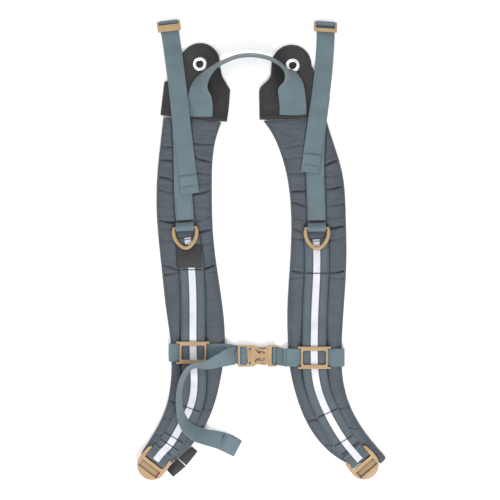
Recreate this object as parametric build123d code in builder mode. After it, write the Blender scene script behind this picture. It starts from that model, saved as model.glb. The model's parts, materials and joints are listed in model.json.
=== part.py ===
from build123d import *
import os
from math import cos, radians, sin

# Pair of padded shoulder straps of a pack harness, lying flat with the face up.
# Millimetres. +Z is up, +Y points to the yoke end, +X to the harness's right side in plan.
# The origin is on the resting surface, under the middle of the whole outline.

# Webbing
WEB_25 = 25.4
WEB_38 = 38.0
WEB_THICK = 1.4
BAND_WIDTH = 33.0
BAND_THICK = 1.1
TAPE_WIDTH = 9.4
TAPE_THICK = 0.2
GAP = 0.3

# Heights of the shoulder pad's layers above the resting surface
BACK_TOP = 3.0
FOAM_BOTTOM = BACK_TOP + 0.2
FOAM_TOP = 9.0
FACE_BOTTOM = FOAM_TOP + 0.2
PAD_TOP = 10.0
BINDING = 1.6
CHANNEL_DEPTH = 1.8
ON_PAD = PAD_TOP + 0.2

# Heights of the yoke tab's layers and of its eyelet
TAB_BACK = (0.0, 0.9)
WASHER = (1.0, 1.9)
TAB_SHEET = (2.0, 3.3)
TAB_FRONT = (3.4, 4.4)
TAB_TOP = TAB_FRONT[1]
EYELET_RADIUS = 5.0
EYELET_BARREL = 6.2
EYELET_FLANGE = 10.0
EYELET_TOP = TAB_TOP + 0.9

# Sternum strap, its sliders and its travel along the pads
SLIDER_TRAVEL = (-12.0, 12.0)
SLIDER_HEIGHT = 31.4
SLIDER_HALF_WIDTH = 18.9
SLIDER_EAR = 23.3
SLIDER_WINDOW = (32.4, 20.0)
SLIDER_BOTTOM = 15.2
SLIDER_TOP = 18.2
POST_INSIDE = 19.3
STERNUM_WEB = 11.9
LOOP_SIDE_GAP = 0.9
BAND_RAISED = STERNUM_WEB + WEB_THICK + 0.2
BUCKLE_MIDDLE = (0.0, -150.0)
BUCKLE_AXIS = 7.5
BUCKLE_HALF_THICK = 4.0

# D-ring, lifter buckle and ladder-lock
RING_WIRE = 4.6
RING_AXIS = 15.0
RING_LOOP_INSIDE = 3.4
PRONG_ROOT = -15.0
PRONG_SPREAD = 9.9
PRONG_KNUCKLE = 2.0
LIFTER_BAR_AXIS = 4.3
LIFTER_BAR_RADIUS = 1.8
FOLD_INSIDE = 2.1
FOLD_OUTSIDE = FOLD_INSIDE + WEB_THICK
LOCK_BAR_AXIS = 14.2
LOCK_BAR = -7.0
LOCK_HALF_WIDTH = 21.0

LEFT = {
    "name": "left",
    "pad_outer": [
        (-138.5, 190), (-143, 150), (-147, 110), (-148, 50), (-142, -18), (-134, -90),
        (-128.5, -130), (-127.5, -180), (-136, -226), (-158, -269), (-175, -295),
    ],
    "pad_inner": [
        (-56, 181.5), (-65, 155), (-70, 90), (-67, 8), (-56, -71), (-51.6, -130),
        (-57, -180), (-72, -234), (-97, -275), (-129, -303.5),
    ],
    "pad_end": [(-168, -291), (-138, -313.5)],
    "band": [
        (-104.6, 19), (-98.6, -27), (-96.5, -90), (-96, -155), (-99.8, -221),
        (-114.7, -250.6), (-129.5, -276), (-140.2, -289.4),
    ],
    "raised": (-176.0, -106.0),
    "tab_outer": [(-143, 191.3), (-137.5, 238), (-122, 246), (-114.3, 262)],
    "tab_dome": (-86.5, 293.6),
    "tab_inner": [(-58.7, 262), (-55, 245), (-44, 227), (-46, 200), (-48.7, 181.8)],
    "eyelet": (-87, 263.6),
    "lifter_low": [(-107.5, 40.5), (-111, 100), (-111.5, 142), (-116.7, 213.7), (-131.7, 323.5)],
    "lifter_high": [(-100.2, 79), (-108.5, 142), (-116.7, 213.7), (-131.7, 323.5)],
    "lifter_heights": [(36, ON_PAD), (207, ON_PAD), (221, 4.8), (278, 4.8), (290, 0.8), (330, 0.8)],
    "lifter_bar": (-131.6, 322.4),
    "lifter_turn": 97.0,
    "lifter_flange": (-12.5, -3.1),
    "ring_bar": (-108.1, 31.4),
    "ring_turn": -86.5,
    "slider": (-96.5, -145.2),
    "loop": (-128.9, -51.6),
    "lock": (-153.4, -303.0),
    "lock_turn": 232.3,
    "bartacks": [(-98.7, -28, 90), (-101.2, -224, 70), (-123.6, -265.5, 60), (-129.6, -276, 58)],
}
RIGHT = {
    "name": "right",
    "pad_outer": [
        (92, 185.8), (104, 147), (115, 109), (120, 50), (121, -10), (117, -85),
        (114, -148), (117, -190), (130, -230), (152, -265), (177, -294),
    ],
    "pad_inner": [
        (2.5, 183.2), (12, 171), (24, 147), (36.5, 105), (42.5, 50), (41.5, -10),
        (37.3, -80), (37.6, -125), (41, -168), (52, -214), (71, -256), (96, -285.5), (125, -304),
    ],
    "pad_end": [(173, -303), (168, -303), (160, -291), (145, -301.5)],
    "band": [
        (77.6, 17), (78.5, -33), (76, -85), (75, -128), (75.5, -168), (80, -196),
        (94, -231), (117.4, -270.5), (133.4, -290),
    ],
    "raised": (-183.5, -113.0),
    "tab_outer": [(93.3, 187), (97.5, 217), (88, 240), (75.5, 252), (71.3, 262)],
    "tab_dome": (43, 291.1),
    "tab_inner": [(14.7, 262), (13.5, 247), (9.8, 241), (-1.1, 231), (-3, 225), (-2.3, 184.8)],
    "eyelet": (44.6, 261.7),
    "lifter_low": [(78.6, 39.5), (77.6, 71), (76.6, 142), (83.5, 213.7), (91.6, 322)],
    "lifter_high": [(68.8, 109), (76.7, 168), (83.5, 213.7), (91.6, 322)],
    "lifter_heights": [(36, ON_PAD), (189, ON_PAD), (200, 4.7), (252, 4.7), (264, 0.8), (330, 0.8)],
    "lifter_bar": (91.5, 321.1),
    "lifter_turn": 86.0,
    "lifter_flange": (-12.0, -7.0),
    "ring_bar": (78.7, 30.7),
    "ring_turn": -89.2,
    "slider": (75.2, -152.3),
    "loop": (36.8, 116.0),
    "lock": (144.2, -302.5),
    "lock_turn": -49.2,
    "bartacks": [(78.5, -33, 90), (94, -231, -66), (117, -270, -59), (125.6, -281, -51)],
}

# Haul loop and free tail: middle of the webbing and its roll, from lying flat (0) to on edge (90)
HAUL_LOOP = [
    (-88, 189, 5.4, 0), (-87.5, 202, 8.2, 6), (-86.5, 218, 14, 28), (-85, 232, 20, 50),
    (-79, 244, 24, 66), (-67, 257, 26, 76), (-51, 266.5, 24, 78), (-32, 273.5, 22, 78),
    (-12, 275, 21, 78), (8, 271.5, 22, 78), (23.5, 264, 25, 79), (32.5, 256, 26, 80), (37, 248.5, 24.5, 70),
    (39.8, 239.5, 20, 38), (42, 229, 16, 10), (43.5, 217, 13, 0), (45, 203, 8.2, 0), (45, 190.5, 5.4, 0),
]
STERNUM_TAIL = [
    (-38, -150, 8.2, 0), (-43.5, -150.5, 12, 6), (-50, -152.5, 16, 24), (-60, -156, 20.5, 42),
    (-73, -160.6, 24.4, 54), (-84, -162.4, 27.6, 66), (-92.5, -162.6, 28.2, 73), (-100.5, -166, 28, 74),
    (-108, -175, 27.6, 74), (-113.3, -188, 27.5, 74), (-115.7, -202, 27.4, 74), (-115.8, -218, 27, 72),
    (-113, -234, 25.8, 66), (-105.5, -249.5, 23.2, 52), (-92, -259.5, 20.4, 38), (-78, -264.5, 17.9, 32),
    (-62, -268.8, 10, 20), (-47.5, -274, 3.8, 8), (-33.5, -282, 1.6, 0),
]


def save(block, name):
    block.part.label = name
    export_step(block.part, f"parts/{name}.step")


def lying(place, turn):
    """Plan plane with its X along the given direction."""
    along = (cos(radians(turn)), sin(radians(turn)), 0)
    return Plane(origin=(place[0], place[1], 0), x_dir=along, z_dir=(0, 0, 1))


def standing(place, turn):
    """Upright plane with its X along the given direction and its Y up."""
    along = (cos(radians(turn)), sin(radians(turn)), 0)
    across = (along[1], -along[0], 0)
    return Plane(origin=(place[0], place[1], 0), x_dir=along, z_dir=across)


def strip(points, thickness):
    """Edge of a strip in side view, from points on its underside."""
    top = [(along, height + thickness) for along, height in reversed(points)]
    with BuildLine() as edge:
        Polyline(*points, *top, close=True)
    make_face(edge.edges())


def inset_corners(corners, distance):
    """Corners of a closed outline moved inwards, square to its edges."""
    count = len(corners)
    points = [Vector(x, y) for x, y in corners]
    area = sum(points[i - 1].cross(points[i]).Z for i in range(count))
    inwards = Vector(0, 0, 1 if area > 0 else -1)
    moved = []
    for i in range(count):
        arriving = inwards.cross((points[i] - points[i - 1]).normalized())
        leaving = inwards.cross((points[(i + 1) % count] - points[i]).normalized())
        shift = (arriving + leaving) * (distance / (1 + arriving.dot(leaving)))
        corner = points[i] + shift
        moved.append((corner.X, corner.Y))
    return moved


def pad_outline(side, inset=0.0, mode=Mode.ADD):
    outer, end, inner = side["pad_outer"], side["pad_end"], side["pad_inner"]
    corners = inset_corners([*outer, *end, *reversed(inner)], inset)
    last_outer = len(outer) - 1
    first_inner = len(outer) + len(end)
    with BuildLine() as outline:
        Spline(*corners[: last_outer + 1])
        Polyline(*corners[last_outer : first_inner + 1])
        Spline(*corners[first_inner:])
        Line(corners[-1], corners[0])
    make_face(outline.edges(), mode=mode)


def travel_zone(side):
    """Stretch of the pad that the sternum webbing passes under, over its whole travel."""
    middle = side["slider"][1]
    low = middle - WEB_25 / 2 + SLIDER_TRAVEL[0] - 1
    high = middle + WEB_25 / 2 + SLIDER_TRAVEL[1] + 1
    return low, high


def pad_layer(side, name, bottom, top, inset):
    low, high = travel_zone(side)
    with BuildPart() as layer:
        with BuildSketch(Plane.XY.offset(bottom)):
            pad_outline(side, inset)
        extrude(amount=top - bottom)
        if bottom < CHANNEL_DEPTH:
            with BuildSketch(Plane.XY):
                with Locations((0, (low + high) / 2)):
                    Rectangle(400, high - low)
            extrude(amount=CHANNEL_DEPTH, mode=Mode.SUBTRACT)
    save(layer, name)


def edge_binding(side):
    low, high = travel_zone(side)
    with BuildPart() as binding:
        with BuildSketch(Plane.XY):
            pad_outline(side)
            pad_outline(side, BINDING, mode=Mode.SUBTRACT)
        extrude(amount=PAD_TOP)
        with BuildSketch(Plane.XY):
            with Locations((0, (low + high) / 2)):
                Rectangle(400, high - low)
        extrude(amount=CHANNEL_DEPTH, mode=Mode.SUBTRACT)
    save(binding, f"edge_binding_{side['name']}")


def tab_layer(side, name, bottom, top):
    with BuildPart() as layer:
        with BuildSketch(Plane.XY.offset(bottom)):
            with BuildLine():
                Polyline(*side["tab_outer"])
                ThreePointArc(side["tab_outer"][-1], side["tab_dome"], side["tab_inner"][0])
                Polyline(*side["tab_inner"])
                Line(side["tab_inner"][-1], side["tab_outer"][0])
            make_face()
            if bottom > WASHER[1]:
                with Locations(side["eyelet"]):
                    Circle(EYELET_BARREL + GAP, mode=Mode.SUBTRACT)
        extrude(amount=top - bottom)
    save(layer, name)


def eyelet(side):
    """Eyelet through the front and the sheet. The back cover runs on behind it."""
    with BuildPart() as washer:
        with BuildSketch(Plane.XY.offset(WASHER[0])):
            with Locations(side["eyelet"]):
                Circle(EYELET_FLANGE)
                Circle(EYELET_BARREL + 0.1, mode=Mode.SUBTRACT)
        extrude(amount=WASHER[1] - WASHER[0])
    save(washer, f"grommet_washer_{side['name']}")

    with BuildPart() as grommet:
        with BuildSketch(Plane.XY.offset(WASHER[0])):
            with Locations(side["eyelet"]):
                Circle(EYELET_BARREL)
        extrude(amount=EYELET_TOP - WASHER[0])
        with BuildSketch(Plane.XY.offset(TAB_TOP + 0.1)):
            with Locations(side["eyelet"]):
                Circle(EYELET_FLANGE)
        extrude(amount=EYELET_TOP - TAB_TOP - 0.1)
        fillet(grommet.edges().group_by(Axis.Z)[-1], radius=0.6)
        with BuildSketch(Plane.XY):
            with Locations(side["eyelet"]):
                Circle(EYELET_RADIUS)
        extrude(amount=EYELET_TOP + 1, mode=Mode.SUBTRACT)
    save(grommet, f"grommet_{side['name']}")


def centre_band(side, name, width, thickness, lift):
    """Webbing down the middle of the pad, lifted where the slider travels over it."""
    low, high = side["raised"]
    flat = ON_PAD + lift
    raised = BAND_RAISED + lift
    heights = [(-310, flat), (low - 12, flat), (low, raised), (high, raised), (high + 12, flat), (25, flat)]
    with BuildPart() as band:
        with BuildSketch(Plane.XY):
            with BuildLine():
                Spline(*side["band"])
            trace(line_width=width)
        extrude(amount=40)
        with BuildSketch(Plane.YZ):
            strip(heights, thickness)
        extrude(amount=200, both=True, mode=Mode.INTERSECT)
    save(band, name)


def bartacks(side):
    with BuildPart() as tacks:
        for x, y, turn in side["bartacks"]:
            with BuildSketch(lying((x, y), turn).offset(ON_PAD + BAND_THICK + TAPE_THICK + 0.25)):
                Rectangle(1.6, TAPE_WIDTH + 2)
            extrude(amount=0.5)
    save(tacks, f"bartacks_{side['name']}")


def lifter_strap(side):
    """One webbing: up from the D-ring, round the buckle's bar, and back as a free tail."""
    low = side["lifter_heights"]
    high = [(y, z + WEB_THICK + GAP) for y, z in low]
    layers = []
    for line, heights in ((side["lifter_low"], low), (side["lifter_high"], high)):
        with BuildPart() as layer:
            with BuildSketch(Plane.XY):
                with BuildLine():
                    Spline(*line)
                trace(line_width=WEB_25)
            extrude(amount=40)
            with BuildSketch(Plane.YZ):
                strip(heights, WEB_THICK)
            extrude(amount=200, both=True, mode=Mode.INTERSECT)
            with BuildSketch(standing(side["lifter_bar"], side["lifter_turn"]).offset(-WEB_25)):
                with Locations((10, 10)):
                    Rectangle(20, 40)
                with Locations((0, LIFTER_BAR_AXIS)):
                    Circle(FOLD_INSIDE)
            extrude(amount=2 * WEB_25, mode=Mode.SUBTRACT)
        layers.append(layer.part)
    with BuildPart() as strap:
        add(layers)
        with BuildSketch(standing(side["lifter_bar"], side["lifter_turn"]).offset(-WEB_25 / 2)):
            with Locations((0, LIFTER_BAR_AXIS)):
                Circle(FOLD_OUTSIDE)
                Circle(FOLD_INSIDE, mode=Mode.SUBTRACT)
        extrude(amount=WEB_25)
    save(strap, f"lifter_strap_{side['name']}")


def lifter_buckle(side):
    """Two-bar adjuster. The webbing wraps the far bar and leaves under the near one."""
    upright = standing(side["lifter_bar"], side["lifter_turn"])
    near, far = side["lifter_flange"]
    near_bar = (near + 0.2, near + 4.6)
    cheek_inside = WEB_25 / 2 + 1.0
    cheek_outside = 16.4
    low = LIFTER_BAR_AXIS
    flange_bottom = low + FOLD_OUTSIDE + GAP
    with BuildPart() as buckle:
        for cheek in (-cheek_outside, cheek_inside):
            with BuildSketch(upright.offset(cheek)):
                with BuildLine():
                    Polyline(
                        (near, low), (near, low + 4.6), (near + 1.5, flange_bottom + 1.6), (-0.5, low + 4.8),
                        (2.6, low + 1.8), (2.6, low - 1.6), (0.5, low - 3.0), (-4, low - 3.0), close=True
                    )
                make_face()
            extrude(amount=cheek_outside - cheek_inside)
        with BuildSketch(upright.offset(-cheek_outside)):
            with Locations((0, low)):
                Circle(LIFTER_BAR_RADIUS)
            with Locations(((near_bar[0] + near_bar[1]) / 2, low + 2.7)):
                RectangleRounded(near_bar[1] - near_bar[0], 4.4, 1.0)
            if far > near_bar[1]:
                with Locations(((near + far) / 2, flange_bottom + 0.8)):
                    Rectangle(far - near, 1.6)
                with Locations((near + 1.6, low + 3.5)):
                    Rectangle(2.8, 3.2)
        extrude(amount=2 * cheek_outside)
    save(buckle, f"lifter_buckle_{side['name']}")


def ring_and_loop(side):
    plan = lying(side["ring_bar"], side["ring_turn"])
    half = RING_WIRE / 2
    with BuildPart() as ring:
        with BuildSketch(plan.offset(RING_AXIS - half)):
            with BuildLine():
                Polyline((11, -18.6), (0, -18.6), (-half, -16.3), (-half, 16.3), (0, 18.6), (11, 18.6))
                ThreePointArc((11, 18.6), (23.5, 12.0), (31, 0))
                ThreePointArc((31, 0), (23.5, -12.0), (11, -18.6))
            make_face()
            with BuildLine():
                Polyline((11, -14), (half, -14), (half, 14), (11, 14))
                ThreePointArc((11, 14), (20.3, 9.0), (26, 0))
                ThreePointArc((26, 0), (20.3, -9.0), (11, -14))
            make_face(mode=Mode.SUBTRACT)
        extrude(amount=RING_WIRE)
    save(ring, f"d_ring_{side['name']}")

    with BuildPart() as loop:
        with BuildSketch(standing(side["ring_bar"], side["ring_turn"]).offset(-WEB_25 / 2)):
            with Locations((0, RING_AXIS)):
                Circle(RING_LOOP_INSIDE + WEB_THICK)
            with Locations((-4.3, ON_PAD + 0.4 + WEB_THICK)):
                Rectangle(6.4, 2 * WEB_THICK)
            with Locations((0, RING_AXIS)):
                Circle(RING_LOOP_INSIDE, mode=Mode.SUBTRACT)
        extrude(amount=WEB_25)
    save(loop, f"d_ring_loop_{side['name']}")


def sternum_slider(side):
    """Frame over the band, on four posts, with two bars under the sternum webbing."""
    plan = lying(side["slider"], 0)
    ear_middle = (POST_INSIDE + SLIDER_EAR) / 2
    ear_width = SLIDER_EAR - POST_INSIDE
    post = SLIDER_HEIGHT / 2 - WEB_25 / 2 - GAP
    post_middle = SLIDER_HEIGHT / 2 - post / 2
    with BuildPart() as slider:
        with BuildSketch(plan.offset(SLIDER_BOTTOM)):
            RectangleRounded(2 * SLIDER_HALF_WIDTH, SLIDER_HEIGHT, 1.2)
            RectangleRounded(*SLIDER_WINDOW, 2.5, mode=Mode.SUBTRACT)
            with Locations((0, post_middle), (0, -post_middle)):
                Rectangle(2 * SLIDER_EAR, post)
        extrude(amount=SLIDER_TOP - SLIDER_BOTTOM)
        chamfer(slider.faces().sort_by(Axis.Z)[-1].edges(), length=0.5)
        with BuildSketch(plan.offset(ON_PAD)):
            with GridLocations(2 * ear_middle, 2 * post_middle, 2, 2):
                Rectangle(ear_width, post)
        extrude(amount=SLIDER_BOTTOM - ON_PAD)
        with BuildSketch(plan.offset(ON_PAD)):
            with Locations((ear_middle, 0), (-ear_middle, 0)):
                Rectangle(ear_width, SLIDER_HEIGHT)
        extrude(amount=STERNUM_WEB - ON_PAD - GAP)
    save(slider, f"sternum_slider_{side['name']}")


def pad_ring(side):
    """The sternum webbing's turn round the pad, in side view."""
    inside = (side["loop"][0] - LOOP_SIDE_GAP, side["loop"][1] + LOOP_SIDE_GAP)
    bottom = 0.1 + WEB_THICK
    middle = ((inside[0] + inside[1]) / 2, (bottom + STERNUM_WEB) / 2)
    width = inside[1] - inside[0]
    height = STERNUM_WEB - bottom
    with Locations(middle):
        RectangleRounded(width + 2 * WEB_THICK, height + 2 * WEB_THICK, 2.4)
        RectangleRounded(width, height, 1.0, mode=Mode.SUBTRACT)


def sternum_straps():
    """Each half runs round its pad, through the slider and round the buckle's bar."""
    y_buckle = BUCKLE_MIDDLE[1]
    half = WEB_25 / 2
    rest = BUCKLE_AXIS - 1.8 - WEB_THICK
    plug_bar = -24.0
    socket_bar = 18.5
    y_left = LEFT["slider"][1]
    y_right = RIGHT["slider"][1]
    x_left = LEFT["loop"][1] + LOOP_SIDE_GAP
    x_right = RIGHT["loop"][0] - LOOP_SIDE_GAP

    with BuildPart() as left:
        with BuildSketch(Plane.XY.offset(-1)):
            with BuildLine():
                Polyline(
                    (-140, y_left + half), (x_left + 2, y_left + half), (-34, y_buckle + half),
                    (-15, y_buckle + half), (-15, y_buckle - half), (-34, y_buckle - half),
                    (x_left + 2, y_left - half), (-140, y_left - half), close=True
                )
            make_face()
        extrude(amount=40)
        with BuildSketch(Plane.XZ):
            pad_ring(LEFT)
            strip([(x_left, STERNUM_WEB), (x_left + 2, STERNUM_WEB), (-37, rest), (plug_bar, rest)], WEB_THICK)
            strip([(-37, rest + 2.6), (-30, rest + 2.8), (plug_bar, rest + 5.0)], WEB_THICK)
            with Locations((plug_bar, BUCKLE_AXIS)):
                Circle(1.8 + WEB_THICK)
                Circle(1.8, mode=Mode.SUBTRACT)
        extrude(amount=200, both=True, mode=Mode.INTERSECT)
    save(left, "sternum_strap_left")

    with BuildPart() as right:
        with BuildSketch(Plane.XY.offset(-1)):
            with BuildLine():
                Polyline(
                    (10, y_buckle + half), (24, y_buckle + half), (x_right - 2, y_right + half),
                    (130, y_right + half), (130, y_right - half), (x_right - 2, y_right - half),
                    (24, y_buckle - half), (10, y_buckle - half), close=True
                )
            make_face()
        extrude(amount=40)
        with BuildSketch(Plane.XZ):
            pad_ring(RIGHT)
            strip([(socket_bar, rest), (24, rest), (x_right - 2, STERNUM_WEB), (x_right, STERNUM_WEB)], WEB_THICK)
            with Locations((socket_bar, BUCKLE_AXIS)):
                Circle(1.8 + WEB_THICK)
                Circle(1.8, mode=Mode.SUBTRACT)
        extrude(amount=200, both=True, mode=Mode.INTERSECT)
    save(right, "sternum_strap_right")


def buckle():
    """Side-release buckle: plug with an adjuster frame, two prongs, and a waisted socket."""
    plan = lying(BUCKLE_MIDDLE, 0)
    bottom = BUCKLE_AXIS - BUCKLE_HALF_THICK
    thick = 2 * BUCKLE_HALF_THICK
    cavity_half = 2.6
    bar_window = 13.1
    with BuildPart() as socket:
        with BuildSketch(plan.offset(bottom)):
            with BuildLine():
                Polyline((-15, 0), (-15, 15.2), (-10.5, 15.2))
                Spline((-10.5, 15.2), (-5, 11.5), (2, 9.6), (7.5, 11.5), (9.5, 15.2))
                Polyline((9.5, 15.2), (22, 15.2), (22, 0))
                mirror(about=Plane.XZ)
            make_face()
            with Locations((18.6, 0)):
                Rectangle(8, 2 * bar_window, mode=Mode.SUBTRACT)
        extrude(amount=thick)
        with BuildSketch(plan.offset(BUCKLE_AXIS - cavity_half)):
            with Locations((-3.5, 0)):
                Rectangle(24, 24.4)
        extrude(amount=2 * cavity_half, mode=Mode.SUBTRACT)
        with BuildSketch(plan.offset(bottom)):
            with Locations((-1, 6.2), (-1, -6.2)):
                SlotOverall(9, 2.0)
        extrude(amount=thick, mode=Mode.SUBTRACT)
        with BuildSketch(Plane.XZ.offset(-BUCKLE_MIDDLE[1] - 15)):
            with Locations((18.5, BUCKLE_AXIS)):
                Circle(1.5)
        extrude(amount=30)
    save(socket, "buckle_socket")

    with BuildPart() as plug:
        with BuildSketch(plan.offset(bottom)):
            with Locations((-24.2, 0)):
                RectangleRounded(17.8, 30.8, 1.5)
                with Locations((-0.1, 0)):
                    Rectangle(11.6, 2 * bar_window, mode=Mode.SUBTRACT)
        extrude(amount=thick)
        with BuildSketch(plan.offset(bottom)):
            with Locations((-33, 0)):
                Rectangle(6, 2 * bar_window)
        extrude(amount=5.5, mode=Mode.SUBTRACT)
        with BuildSketch(plan.offset(bottom)):
            with Locations((PRONG_ROOT, PRONG_SPREAD), (PRONG_ROOT, -PRONG_SPREAD)):
                Circle(PRONG_KNUCKLE + GAP)
        extrude(amount=thick, mode=Mode.SUBTRACT)
        with BuildSketch(Plane.XZ.offset(-BUCKLE_MIDDLE[1] - 15)):
            with Locations((-24, BUCKLE_AXIS)):
                Circle(1.5)
        extrude(amount=30)
        with BuildSketch(plan.offset(BUCKLE_AXIS - 2.2)):
            with Locations((-6, 0)):
                Rectangle(20, 4.6)
        extrude(amount=4.4)
    save(plug, "buckle_plug")

    for name, up in (("upper", 1), ("lower", -1)):
        with BuildPart() as prong:
            with BuildSketch(plan.offset(BUCKLE_AXIS - 2.2)):
                with BuildLine():
                    Polyline(
                        (PRONG_ROOT, 8.6 * up), (PRONG_ROOT, 11.2 * up), (-9.5, 11.6 * up), (-3, 11.9 * up),
                        (3.5, 13.2 * up), (6.8, 12.8 * up), (7.6, 9.6 * up), (3, 8.4 * up), (-8, 8.6 * up),
                        close=True
                    )
                make_face()
                with Locations((PRONG_ROOT, PRONG_SPREAD * up)):
                    Circle(PRONG_KNUCKLE)
            extrude(amount=4.4)
        save(prong, f"plug_prong_{name}")


def ladder_lock(side):
    """Arms that hold a hidden bar, a cross bar, a sunk second bar and a domed thumb tab."""
    plan = lying(side["lock"], side["lock_turn"])
    upright = standing(side["lock"], side["lock_turn"])
    half = LOCK_HALF_WIDTH
    bar_top = LOCK_BAR_AXIS + 2.0
    with BuildPart() as lock:
        with BuildSketch(plan.offset(LOCK_BAR_AXIS - 1.2)):
            with BuildLine():
                Polyline((4, -half), (-5, -half), (-15, -20), (-18.2, -18.6), (-19, -15.8),
                         (-19, 15.8), (-18.2, 18.6), (-15, 20), (-5, half), (4, half))
                ThreePointArc((4, half), (22.5, 0), (4, -half))
            make_face()
            with Locations((-11.3, 0)):
                Rectangle(18.6, 31.6, mode=Mode.SUBTRACT)
            with Locations((8, 0)):
                Rectangle(10.6, 32, mode=Mode.SUBTRACT)
        extrude(amount=3.2)
        with BuildSketch(plan.offset(LOCK_BAR_AXIS - 1.2)):
            with Locations((-14.5, 0)):
                Rectangle(9.4, 2 * half)
        extrude(amount=1.5, mode=Mode.SUBTRACT)
        with BuildSketch(upright.offset(-16.4)):
            with Locations((LOCK_BAR, LOCK_BAR_AXIS)):
                Circle(LIFTER_BAR_RADIUS)
            with Locations((8.15, LOCK_BAR_AXIS - 3.35)):
                Rectangle(10.3, 1.5)
        extrude(amount=32.8)
        for cheek in (-half + 3.4, half - 5.0):
            with BuildSketch(upright.offset(cheek)):
                with Locations((8, LOCK_BAR_AXIS - 2.4)):
                    RectangleRounded(12, 2.8, 0.8)
            extrude(amount=1.6)
    save(lock, f"ladder_lock_{side['name']}")

    with BuildPart() as loop:
        with BuildSketch(upright.offset(-WEB_25 / 2 - 2)):
            with Locations((LOCK_BAR, LOCK_BAR_AXIS)):
                Circle(FOLD_OUTSIDE)
            with Locations((LOCK_BAR - 5.2, ON_PAD + 0.5 + WEB_THICK)):
                Rectangle(8, 2 * WEB_THICK)
            with Locations((LOCK_BAR, LOCK_BAR_AXIS)):
                Circle(FOLD_INSIDE, mode=Mode.SUBTRACT)
        extrude(amount=WEB_25 + 4)
    save(loop, f"ladder_lock_loop_{side['name']}")


def twisted_ribbon(stations, width, name):
    """Webbing that turns from lying flat to standing on edge, lofted between its stations."""
    points = [Vector(x, y, z) for x, y, z, _ in stations]
    length = 0
    with BuildPart() as ribbon:
        for i, (x, y, z, roll) in enumerate(stations):
            before = points[max(i - 1, 0)]
            after = points[min(i + 1, len(points) - 1)]
            ahead = (after - before).normalized()
            level = ahead.cross(Vector(0, 0, 1)).normalized()
            upward = level.cross(ahead)
            across = level * cos(radians(roll)) + upward * sin(radians(roll))
            with BuildSketch(Plane(origin=points[i], x_dir=across, z_dir=ahead)):
                Rectangle(width, WEB_THICK)
            length += (points[i] - before).length
        loft(ruled=True)
    print(f"{name}: {length:.0f} mm long")
    save(ribbon, name)


def flat_label(name, corners, bottom, thickness):
    with BuildPart() as label:
        with BuildSketch(Plane.XY.offset(bottom)):
            with BuildLine():
                Polyline(*corners, close=True)
            make_face()
        extrude(amount=thickness)
    save(label, name)


os.makedirs("parts", exist_ok=True)
for side in (LEFT, RIGHT):
    which = side["name"]
    pad_layer(side, f"pad_back_{which}", 0, BACK_TOP, BINDING + 0.2)
    pad_layer(side, f"foam_core_{which}", FOAM_BOTTOM, FOAM_TOP, BINDING + 0.2)
    pad_layer(side, f"pad_face_{which}", FACE_BOTTOM, PAD_TOP, BINDING + 0.2)
    edge_binding(side)
    tab_layer(side, f"anchor_cover_back_{which}", *TAB_BACK)
    tab_layer(side, f"anchor_stiffener_{which}", *TAB_SHEET)
    tab_layer(side, f"anchor_cover_front_{which}", *TAB_FRONT)
    eyelet(side)
    centre_band(side, f"centre_band_{which}", BAND_WIDTH, BAND_THICK, 0)
    centre_band(side, f"reflective_tape_{which}", TAPE_WIDTH, TAPE_THICK, BAND_THICK + 0.1)
    bartacks(side)
    lifter_strap(side)
    lifter_buckle(side)
    ring_and_loop(side)
    sternum_slider(side)
    ladder_lock(side)

sternum_straps()
buckle()
twisted_ribbon(HAUL_LOOP, WEB_38, "haul_loop")
twisted_ribbon(STERNUM_TAIL, WEB_25, "sternum_tail")
flat_label("woven_label", [(-120, 7.7), (-84.5, 7.7), (-84.5, -25), (-120, -25)], 11.75, 0.4)
flat_label("trim_tag", [
    (-118.5, -296.4), (-128, -304.9), (-133.9, -312.4), (-125, -322.4), (-107, -307.2),
], 0.2, 0.5)
flat_label("size_tag", [(-117.7, -295.8), (-106, -306), (-90.1, -285.9), (-98.5, -279.1)], 0.8, 0.5)
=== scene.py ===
"""Shoulder strap harness: the soft goods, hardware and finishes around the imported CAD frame."""

import functools
import json
import math

import bmesh
import bpy
import numpy as np
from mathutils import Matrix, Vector, noise


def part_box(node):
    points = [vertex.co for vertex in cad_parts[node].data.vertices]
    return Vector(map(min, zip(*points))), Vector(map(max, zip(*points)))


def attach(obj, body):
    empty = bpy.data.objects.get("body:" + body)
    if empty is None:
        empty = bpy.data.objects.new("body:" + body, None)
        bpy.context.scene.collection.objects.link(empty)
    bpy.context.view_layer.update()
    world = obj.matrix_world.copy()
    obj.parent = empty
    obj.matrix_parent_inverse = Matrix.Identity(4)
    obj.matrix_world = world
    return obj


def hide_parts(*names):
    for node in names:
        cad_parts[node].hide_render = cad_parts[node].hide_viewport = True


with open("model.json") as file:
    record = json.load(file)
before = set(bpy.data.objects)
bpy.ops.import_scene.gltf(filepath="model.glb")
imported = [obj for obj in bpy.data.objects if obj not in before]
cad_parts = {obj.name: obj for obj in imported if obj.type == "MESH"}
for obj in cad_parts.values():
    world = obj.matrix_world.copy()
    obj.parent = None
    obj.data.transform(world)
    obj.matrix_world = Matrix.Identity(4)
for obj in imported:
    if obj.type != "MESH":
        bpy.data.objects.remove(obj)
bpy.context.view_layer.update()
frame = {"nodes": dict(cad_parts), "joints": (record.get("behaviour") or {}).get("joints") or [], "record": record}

MM = 0.001
WEB_25 = 25.4 * MM
WEB_38 = 38.0 * MM
WEB_THICK = 1.4 * MM
# a folded end lies this far above the webbing under it and is a little narrower
HEM_RISE = 1.35 * MM
HEM_WIDTH = WEB_25 - 0.3 * MM
PAD_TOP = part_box("pad_face_left")[1].z
SIDES = ("left", "right")
UP = Vector((0, 0, 1))
# a Y at which a level cut meets only the centre band, and one for the lifter strap
ON_BAND = -60 * MM
ON_LIFTER = 60 * MM


# ---------------------------------------------------------------- camera, floor and light

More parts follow.
